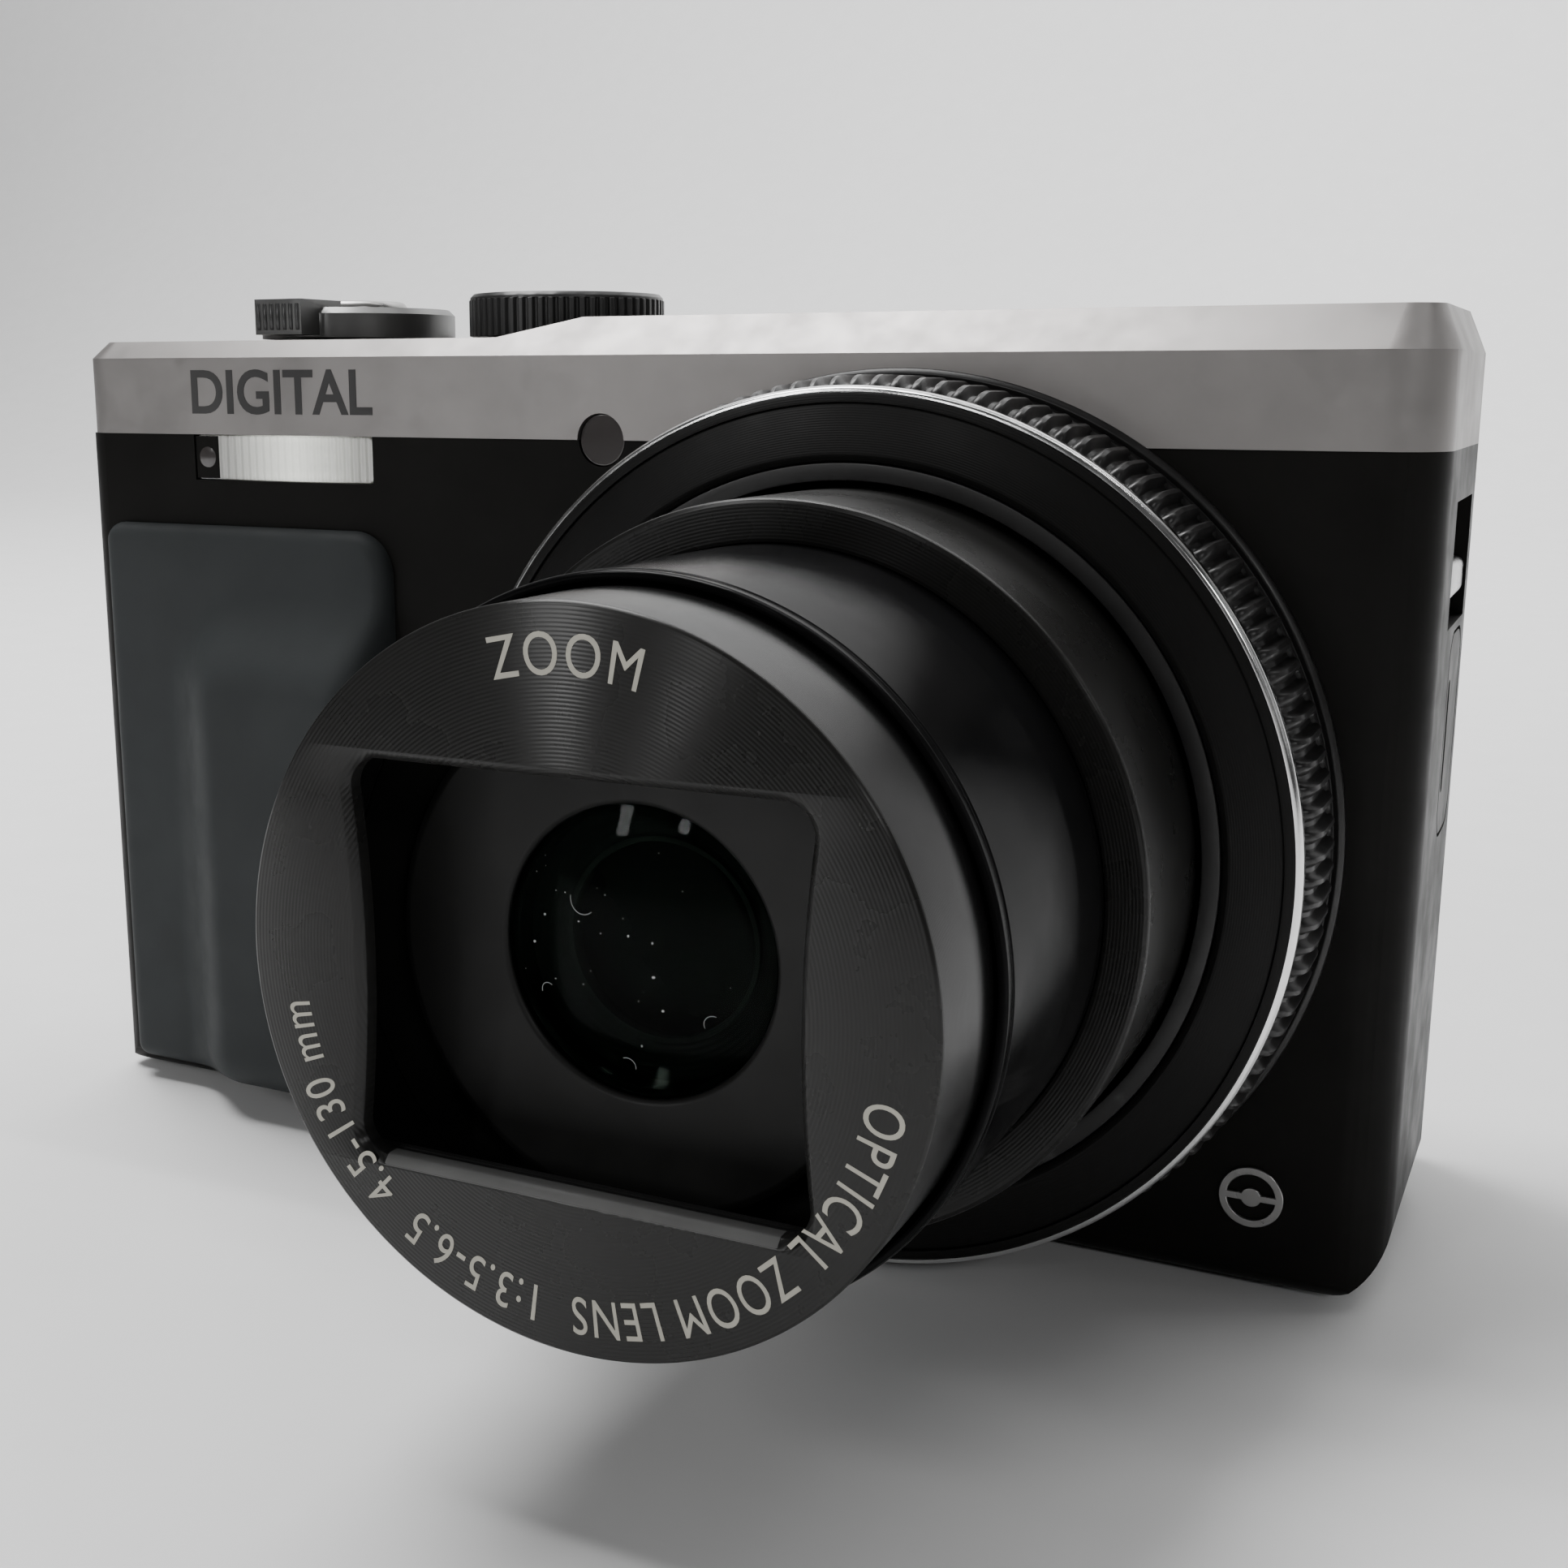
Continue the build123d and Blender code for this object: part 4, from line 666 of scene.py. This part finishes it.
ring_profile = [Vector((SLEEVE_R + 0.06, knurl_back)), Vector((KNURL_R - 1.45, knurl_back))]
for y, inward in ((0.0, 0.75), (0.12, 0.3), (0.3, 0.1), (0.5, 0.02), (2.0, 0.0), (3.4, 0.0), (4.3, 0.0),
                  (4.7, 0.05), (5.1, 0.16), (5.4, 0.32), (5.7, 0.5), (5.9, 0.72), (6.0, 1.0), (6.3, 1.05)):
    ring_profile.append(Vector((KNURL_R - inward, knurl_back - y)))
ring_profile += [Vector((RING_R - 0.8, trim_front + 1.1)), Vector((SLEEVE_R + 0.06, trim_front + 1.1))]
ring = lathe("ring_grip", ring_profile, KNURLS * PER_TOOTH, shape=knurled)
finish_piece(ring, "control_ring", "black_anodised", M["knurl"], "control_ring")

trim_profile = rounded_profile(
    [(RING_R - 0.55, trim_front + 1.1), (RING_R - 0.1, trim_front + 1.1), (RING_R - 0.1, trim_front + 0.45),
     (RING_R - 0.28, trim_front + 0.12), (RING_R - 0.55, trim_front + 0.05)], 0.08)
trim = lathe("ring_bezel", trim_profile, 360)
finish_piece(trim, "control_ring", "bright_trim", M["trim"], "control_ring_trim")

face_profile = rounded_profile(
    [(SLEEVE_R + 0.06, ring_front + 1.1), (RING_R - 1.22, ring_front + 1.1),
     (RING_R - 1.22, ring_front + 0.25), (SLEEVE_R + 0.5, ring_front),
     (SLEEVE_R + 0.06, ring_front + 0.3)], 0.15)
face = lathe("ring_plate", face_profile, 360)
collar_profile = rounded_profile(
    [(RING_R - 1.2, trim_front + 1.1), (RING_R - 0.57, trim_front + 1.1), (RING_R - 0.57, trim_front + 0.04),
     (RING_R - 1.2, trim_front)], 0.06)
collar = lathe("ring_collar", collar_profile, 360)
finish_piece(collar, "control_ring", "black_anodised", M["satin_ring"])
finish_piece(face, "control_ring", "black_anodised", M["satin_ring"], "control_ring_face")

# ---- lens: barrels ----
OUTER_R, OUTER_BORE, OUTER_FLANGE_R = 23.9, 22.9, 24.28
MIDDLE_R, MIDDLE_BORE, MIDDLE_FLANGE_R = 21.1, 20.55, 22.5
FRONT_BORE = 19.45
outer_y, outer_back = frame_y("outer_barrel", 0), frame_y("outer_barrel", 1)
middle_y, middle_back = frame_y("middle_barrel", 0), frame_y("middle_barrel", 1)
front_back = frame_y("front_barrel", 1)

outer_profile = rounded_profile(
    [(OUTER_BORE, outer_back), (OUTER_BORE, outer_y + 1.6), (MIDDLE_R + 0.06, outer_y + 1.6),
     (MIDDLE_R + 0.06, outer_y + 0.5), (MIDDLE_R + 0.3, outer_y + 0.38), (OUTER_R - 0.34, outer_y),
     (OUTER_R - 0.1, outer_y + 0.06), (OUTER_R, outer_y + 0.3), (OUTER_R, outer_back - 3.2),
     (OUTER_FLANGE_R, outer_back - 3.0), (OUTER_FLANGE_R, outer_back)], 0.08)
outer = lathe("outer_tube", outer_profile, 360)
finish_piece(outer, "outer_barrel", "black_anodised", M["turned"], "outer_barrel")

middle_profile = rounded_profile(
    [(MIDDLE_BORE, middle_back), (MIDDLE_BORE, middle_y + 0.1), (MIDDLE_BORE + 0.17, middle_y),
     (MIDDLE_R - 0.12, middle_y), (MIDDLE_R, middle_y + 0.22), (MIDDLE_R, middle_y + 0.9),
     (MIDDLE_R - 0.07, middle_y + 0.98), (MIDDLE_R - 0.07, middle_y + 1.12), (MIDDLE_R, middle_y + 1.2),
     (MIDDLE_R, middle_back - 2.1), (MIDDLE_FLANGE_R, middle_back - 2.0),
     (MIDDLE_FLANGE_R, middle_back)], 0.06)
middle = lathe("middle_tube", middle_profile, 360)
finish_piece(middle, "middle_barrel", "gloss_black", M["gloss"], "middle_barrel")
wall_profile = [(9.0, middle_back - 1.0), (MIDDLE_BORE + 0.05, middle_back - 1.0),
                (MIDDLE_BORE + 0.05, middle_back), (9.0, middle_back)]
bulkhead = lathe("middle_wall", wall_profile, 180)
finish_piece(bulkhead, "middle_barrel", "black_inner", M["inner"])

EDGE = 0.3                                  # depth of the name ring's outer edge
front_profile = rounded_profile(
    [(FRONT_BORE, front_back), (FRONT_BORE, NAME_Y + EDGE + 0.9), (FRONT_BORE + 0.15, NAME_Y + EDGE + 0.02),
     (NAME_R, NAME_Y + EDGE + 0.02), (NAME_R, front_back)], 0.03)
front = lathe("front_tube", front_profile, 360)
finish_piece(front, "front_barrel", "black_anodised", M["barrel"], "front_barrel")
shelf_y = frame_y("lens_retainer", 1)
shelf_profile = [(17.0, shelf_y), (FRONT_BORE + 0.05, shelf_y), (FRONT_BORE + 0.05, shelf_y + 2.6),
                 (17.0, shelf_y + 2.6)]
shelf = lathe("front_shelf", shelf_profile, 180)
finish_piece(shelf, "front_barrel", "black_inner", M["inner"])

# ---- lens: name ring with its window ----
WINDOW_W, WINDOW_H, WAIST, CORNER = 27.0, 22.4, 0.6, 1.7


def circle_loop(radius):
    """Circle of 360 points round the lens axis."""
    turns = [2 * math.pi * k / 360 for k in range(360)]
    return [(LENS_X + radius * math.cos(turn), LENS_Z + radius * math.sin(turn)) for turn in turns]


def window_loop(grow):
    """Window outline drawn out by grow: straight top and bottom, sides bowed in, corners rounded."""
    half_w, half_h, corner = WINDOW_W / 2 + grow, WINDOW_H / 2 + grow, CORNER + grow
    corner_steps, side_steps = 10, 28
    points = []
    for start, sx, sz in ((0, 1, 1), (90, -1, 1), (180, -1, -1), (270, 1, -1)):
        for k in range(corner_steps + 1):
            turn = math.radians(start + 90 * k / corner_steps)
            points.append((LENS_X + sx * (half_w - corner) + corner * math.cos(turn),
                           LENS_Z + sz * (half_h - corner) + corner * math.sin(turn)))
        if sx < 0 < sz or sz < 0 < sx:
            for k in range(1, side_steps):
                t = 2 * k / side_steps - 1
                bow = WAIST * (1 - t * t)
                points.append((LENS_X + sx * (half_w - bow), LENS_Z + sx * (half_h - corner) * t))
    return points


name_outer = [(NAME_Y, circle_loop(NAME_R - 0.22)), (NAME_Y + 0.07, circle_loop(NAME_R - 0.07)),
              (NAME_Y + 0.2, circle_loop(NAME_R)), (NAME_Y + EDGE, circle_loop(NAME_R))]
name_hole = [(NAME_Y, window_loop(0.52)), (NAME_Y + 0.05, window_loop(0.42)),
             (NAME_Y + 0.42, window_loop(0.04)), (NAME_Y + 0.5, window_loop(0.0)),
             (NAME_Y + 1.3, window_loop(0.0))]
name_outer_full = name_outer + [(NAME_Y + 1.3, circle_loop(NAME_R - 0.9))]
name_plate = plate("name_plate", name_outer_full, [name_hole])
finish_piece(name_plate, "front_barrel", "black_anodised", M["turned"], "name_ring")

# Grey liner over the window's lower chamfer and wall. Its light tone is partly a greyer finish and partly
# painted light, standing in for the highlight these upward-facing faces catch from above.
sill = bmesh.new()
sill_rows = []
for k in range(41):
    x = LENS_X + (k / 20 - 1) * (WINDOW_W / 2 - 1.6)
    drop = LENS_Z - WINDOW_H / 2
    sill_rows.append([sill.verts.new(Vector((x, y, z)) * MM) for y, z in (
        (NAME_Y + 0.02, drop - 0.46), (NAME_Y + 0.22, drop - 0.2), (NAME_Y + 0.44, drop + 0.0),
        (NAME_Y + 0.60, drop + 0.05), (NAME_Y + 1.0, drop + 0.05), (NAME_Y + 1.28, drop + 0.03))])
skin(sill, sill_rows)
sill_mesh = mesh_of("window_sill", sill)
smooth(sill_mesh, 40)
finish_piece(new_object("window_sill", sill_mesh), "front_barrel", "black_anodised", M["sill"])

ink_y = NAME_Y - 0.004
title = ring_text("ring_title", "ZOOM", 89.5, 17.45, 2.65, ink_y, 1.2)
finish_piece(title, "front_barrel", "black_anodised", M["ink"])
legend = ring_text("ring_legend", "OPTICAL ZOOM LENS  1:3.5-6.5  4.5-130 mm", -90.0, 17.75, 2.3, ink_y,
                   1.12, 1.35)
finish_piece(legend, "front_barrel", "black_anodised", M["ink"])

# ---- lens: retainer and glass ----
GLASS_R = 8.35
glass_y = frame_y("front_lens", 0)
cone_y = frame_y("lens_retainer", 0)
cone_profile = rounded_profile(
    [(GLASS_R + 0.05, shelf_y - 0.5), (GLASS_R + 0.05, cone_y + 0.92), (GLASS_R + 0.3, cone_y + 0.72),
     (14.5, cone_y), (14.95, cone_y + 0.2), (15.0, cone_y + 0.75), (15.0, shelf_y - 0.7),
     (FRONT_BORE - 0.05, shelf_y - 0.7), (FRONT_BORE - 0.05, shelf_y)], 0.1)
cone = lathe("retainer", cone_profile, 360)
finish_piece(cone, "front_barrel", "black_inner", M["cone"], "lens_retainer")

DOME = 1.38                                 # how far the glass bulges forward at its middle
dome = []
for k in range(25):
    share = k / 24
    dome.append((GLASS_R * share, glass_y + DOME * share ** 2))
dome += [(GLASS_R, glass_y + 1.9), (GLASS_R - 0.25, glass_y + 2.1)]
for k in range(25):
    share = 1 - k / 24
    dome.append(((GLASS_R - 0.6) * share, glass_y + 3.4 - 1.2 * share ** 2))
glass = lathe("glass_dome", dome, 180, closed=False)
finish_piece(glass, "front_barrel", "lens_glass", M["glass"], "front_lens")

cell_profile = [(GLASS_R, glass_y + 1.95), (GLASS_R - 0.35, glass_y + 2.2), (GLASS_R - 0.5, glass_y + 3.6),
                (6.2, glass_y + 4.4), (5.75, glass_y + 4.5), (5.7, glass_y + 6.4), (4.4, glass_y + 7.6),
                (4.3, glass_y + 9.2), (0, glass_y + 9.4)]
cell = lathe("glass_cell", cell_profile, 180, closed=False)
finish_piece(cell, "front_barrel", "black_inner", M["inner"])
INNER_R = 5.6
inner_lens = []
for k in range(17):
    share = k / 16
    inner_lens.append((INNER_R * share, glass_y + 4.6 + 0.8 * share ** 2))
for k in range(17):
    share = 1 - k / 16
    inner_lens.append((INNER_R * share, glass_y + 6.6 - 0.5 * share ** 2))
second = lathe("second_glass", inner_lens, 150, closed=False)
finish_piece(second, "front_barrel", "lens_glass", M["deep_glass"])
seat_profile = [(5.55, glass_y + 4.3), (5.85, glass_y + 4.25), (5.9, glass_y + 4.6), (5.5, glass_y + 4.6)]
seat = lathe("second_seat", seat_profile, 180)
finish_piece(seat, "front_barrel", "black_inner", M["cone"])

dust_source = random.Random(11)
specks = bmesh.new()
for k in range(26):
    turn, out = dust_source.uniform(0, 2 * math.pi), GLASS_R * 0.93 * math.sqrt(dust_source.uniform(0, 1))
    place = Vector((LENS_X + out * math.cos(turn), glass_y + DOME * (out / GLASS_R) ** 2 - 0.012,
                    LENS_Z + out * math.sin(turn))) * MM
    size = dust_source.choice((0.03, 0.04, 0.05, 0.08)) * MM
    made = bmesh.ops.create_icosphere(specks, subdivisions=1, radius=size)["verts"]
    stretch = dust_source.uniform(0.6, 1.6)
    for v in made:
        v.co = Vector((v.co.x * stretch, v.co.y * 0.3, v.co.z)) + place
for k in range(4):
    turn, out = dust_source.uniform(0, 2 * math.pi), GLASS_R * dust_source.uniform(0.25, 0.8)
    bend, start = dust_source.uniform(0.4, 0.9), dust_source.uniform(0, 2 * math.pi)
    before = None
    for step in range(9):
        a = start + step * 0.3
        x = out * math.cos(turn) + bend * math.cos(a)
        z = out * math.sin(turn) + bend * math.sin(a)
        y = glass_y + DOME * (x * x + z * z) / GLASS_R ** 2 - 0.015
        pair = [specks.verts.new(Vector((LENS_X + x + d * math.cos(a), y, LENS_Z + z + d * math.sin(a))) * MM)
                for d in (-0.014, 0.014)]
        if before:
            specks.faces.new((before[0], before[1], pair[1], pair[0]))
        before = pair
dust = new_object("glass_dust", mesh_of("glass_dust", specks))
finish_piece(dust, "front_barrel", "lens_glass", M["lint"])

# ---- ribs on the zoom lever's tab ----
lever_low = span("zoom_lever")[0]
tab_verts = [v.co / MM for v in NODES["zoom_lever"].data.vertices if v.co.y / MM < lever_low.y + 0.05]
tab_x0, tab_x1 = min(v.x for v in tab_verts), max(v.x for v in tab_verts)
tab_z0, tab_z1 = min(v.z for v in tab_verts), max(v.z for v in tab_verts)
ribs = bmesh.new()
for k in range(7):
    x = tab_x0 + 0.4 + k * (tab_x1 - tab_x0 - 0.8) / 6
    rings = []
    for z, lift in ((tab_z0 + 0.35, 0.0), (tab_z0 + 0.5, 0.16), (tab_z1 - 0.5, 0.16), (tab_z1 - 0.35, 0.0)):
        curve = []
        for j in range(7):
            a = math.pi * j / 6
            y = lever_low.y + 0.02 - lift * math.sin(a)
            curve.append(ribs.verts.new(Vector((x + 0.2 * math.cos(a), y, z)) * MM))
        rings.append(curve)
    skin(ribs, rings)
rib_mesh = mesh_of("lever_ribs", ribs)
smooth(rib_mesh, 50)
finish_piece(new_object("lever_ribs", rib_mesh), "zoom_lever", "dial_metal", M["dial_dark"])

# ---- printed marks on the controls ----
dial_low, dial_high = span("mode_dial")
dial_x, dial_y = (dial_low.x + dial_high.x) / 2, (dial_low.y + dial_high.y) / 2
mark_r = (dial_high.x - dial_low.x) / 2 - 2.5
for k, letter in enumerate(("P", "A", "S", "M", "C", "*", "+", "o")):
    turn = 2 * math.pi * k / 8
    mark_x, mark_y = dial_x + mark_r * math.sin(turn), dial_y + mark_r * math.cos(turn)
    mark = top_text(f"dial_mark_{k}", letter, mark_x, mark_y, 2.1, dial_high.z + 0.005, -turn)
    finish_piece(mark, "mode_dial", "dial_metal", M["white_ink"])
power_low, power_high = span("power_button")
power_mark = top_text("power_mark", "ON/OFF", (power_low.x + power_high.x) / 2, power_low.y - 1.2, 1.25,
                      DECK_Z + 0.005)
finish_piece(power_mark, "root", "silver_paint", M["mark"])
for node, words in (("playback_button", ">"), ("menu_button", "Fn"), ("delete_button", "x"),
                    ("display_button", "i")):
    low, high = span(node)
    mark = rear_text(node + "_mark", words, (low.x + high.x) / 2, (low.z + high.z) / 2, 2.4, high.y + 0.005)
    finish_piece(mark, node, "black_body", M["white_ink"])
low, high = span("dial_button")
mark = rear_text("wheel_mark", "SET", (low.x + high.x) / 2, (low.z + high.z) / 2, 1.9, high.y + 0.005)
finish_piece(mark, "dial_button", "black_body", M["white_ink"])
low, high = span("movie_button")
dot_profile = [(0, high.y + 0.01), (1.1, high.y + 0.01), (1.25, high.y - 0.1), (0, high.y - 0.1)]
dot = lathe("movie_dot", dot_profile, 48, closed=False, centre=((low.x + high.x) / 2, (low.z + high.z) / 2))
finish_piece(dot, "movie_button", "black_body", M["red_ink"])

# ---- finishes on the pieces that keep their CAD mesh ----
PLAIN = {
    "steel": ("door_hinge_pin", "case_screws", "tripod_socket", "screen_hinge", "chassis"),
    "inner": ("lens_base", "cam_ring", "zoom_motor", "viewfinder_module", "speaker", "battery_holder",
              "memory_card", "rear_lens_group", "image_sensor"),
    "acetal": ("zoom_gear",),
    "reflector": ("flash_unit",),
    "board": ("main_board",),
    "sleeve": ("battery",),
    "glass": ("eyepiece_lens",),
    "blade": ("upper_inner_blade", "upper_outer_blade", "lower_inner_blade", "lower_outer_blade"),
}
for material, names in PLAIN.items():
    for node in names:
        NODES[node].data.materials.clear()
        NODES[node].data.materials.append(M[material])

# ---- studio ----


def sweep(name, width, depth, height, bend):
    """Pale paper that lies on the floor and curves up behind the camera body."""
    profile = [(-2.0, 0.0), (depth - bend, 0.0)]
    for k in range(1, 13):
        turn = math.pi / 2 * k / 12
        profile.append((depth - bend + bend * math.sin(turn), bend - bend * math.cos(turn)))
    profile.append((depth, height))
    bm = bmesh.new()
    rows = [[bm.verts.new((x, y, z - 0.0002)) for x in (-width / 2, width / 2)] for y, z in profile]
    skin(bm, rows)
    mesh = mesh_of(name, bm)
    mesh.shade_smooth()
    return new_object(name, mesh)


paper = sweep("paper_sweep", 5.0, 1.1, 2.2, 0.5)
paper.data.materials.append(surface("paper", (0.86, 0.86, 0.86), 0.85, grain=300.0, tint=0.01, specular=0.1))
paper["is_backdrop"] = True


def softbox(name, place, target, size, power, height=None):
    """Rectangular area light aimed at a point."""
    light = bpy.data.lights.new(name, "AREA")
    light.shape = "RECTANGLE"
    light.size = size
    light.size_y = height or size
    light.energy = power
    obj = bpy.data.objects.new(name, light)
    obj.location = place
    obj.rotation_euler = (Vector(target) - Vector(place)).to_track_quat("-Z", "Y").to_euler()
    bpy.context.scene.collection.objects.link(obj)
    return obj


CENTRE = (0.0, -0.01, 0.035)
softbox("overhead", (-0.27, 0.05, 0.70), CENTRE, 0.36, 7.0, 0.36)
softbox("side", (0.75, 0.10, 0.35), CENTRE, 0.12, 0.16, 0.40)
softbox("front_fill", (0.60, -0.60, 0.45), CENTRE, 0.14, 0.9, 0.14)
softbox("wedge_top", (-0.38, -0.68, 0.35), CENTRE, 0.05, 1.2, 0.30)
softbox("wedge_side", (-0.17, -0.80, 0.31), CENTRE, 0.04, 0.4, 0.10)
softbox("backdrop_wash", (0.0, 0.35, 1.4), (0.0, 1.1, 1.1), 1.6, 40.0, 0.4)

world = bpy.data.worlds.new("studio")
world.use_nodes = True
world.node_tree.nodes["Background"].inputs["Color"].default_value = (0.9, 0.9, 0.9, 1)
world.node_tree.nodes["Background"].inputs["Strength"].default_value = 0.06
bpy.context.scene.world = world

camera_data = bpy.data.cameras.new("camera")
camera_data.sensor_width = 36
camera_data.clip_start = 0.005
camera_data.lens = 43.5
camera_data.shift_x = 0.0537
camera_data.shift_y = -0.0041
camera = bpy.data.objects.new("camera", camera_data)
camera.location = (0.06736, -0.14173, 0.06230)
camera.rotation_euler = (math.radians(90 - 11.75), 0, math.radians(26.42))
bpy.context.scene.collection.objects.link(camera)
bpy.context.scene.camera = camera

low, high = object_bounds()
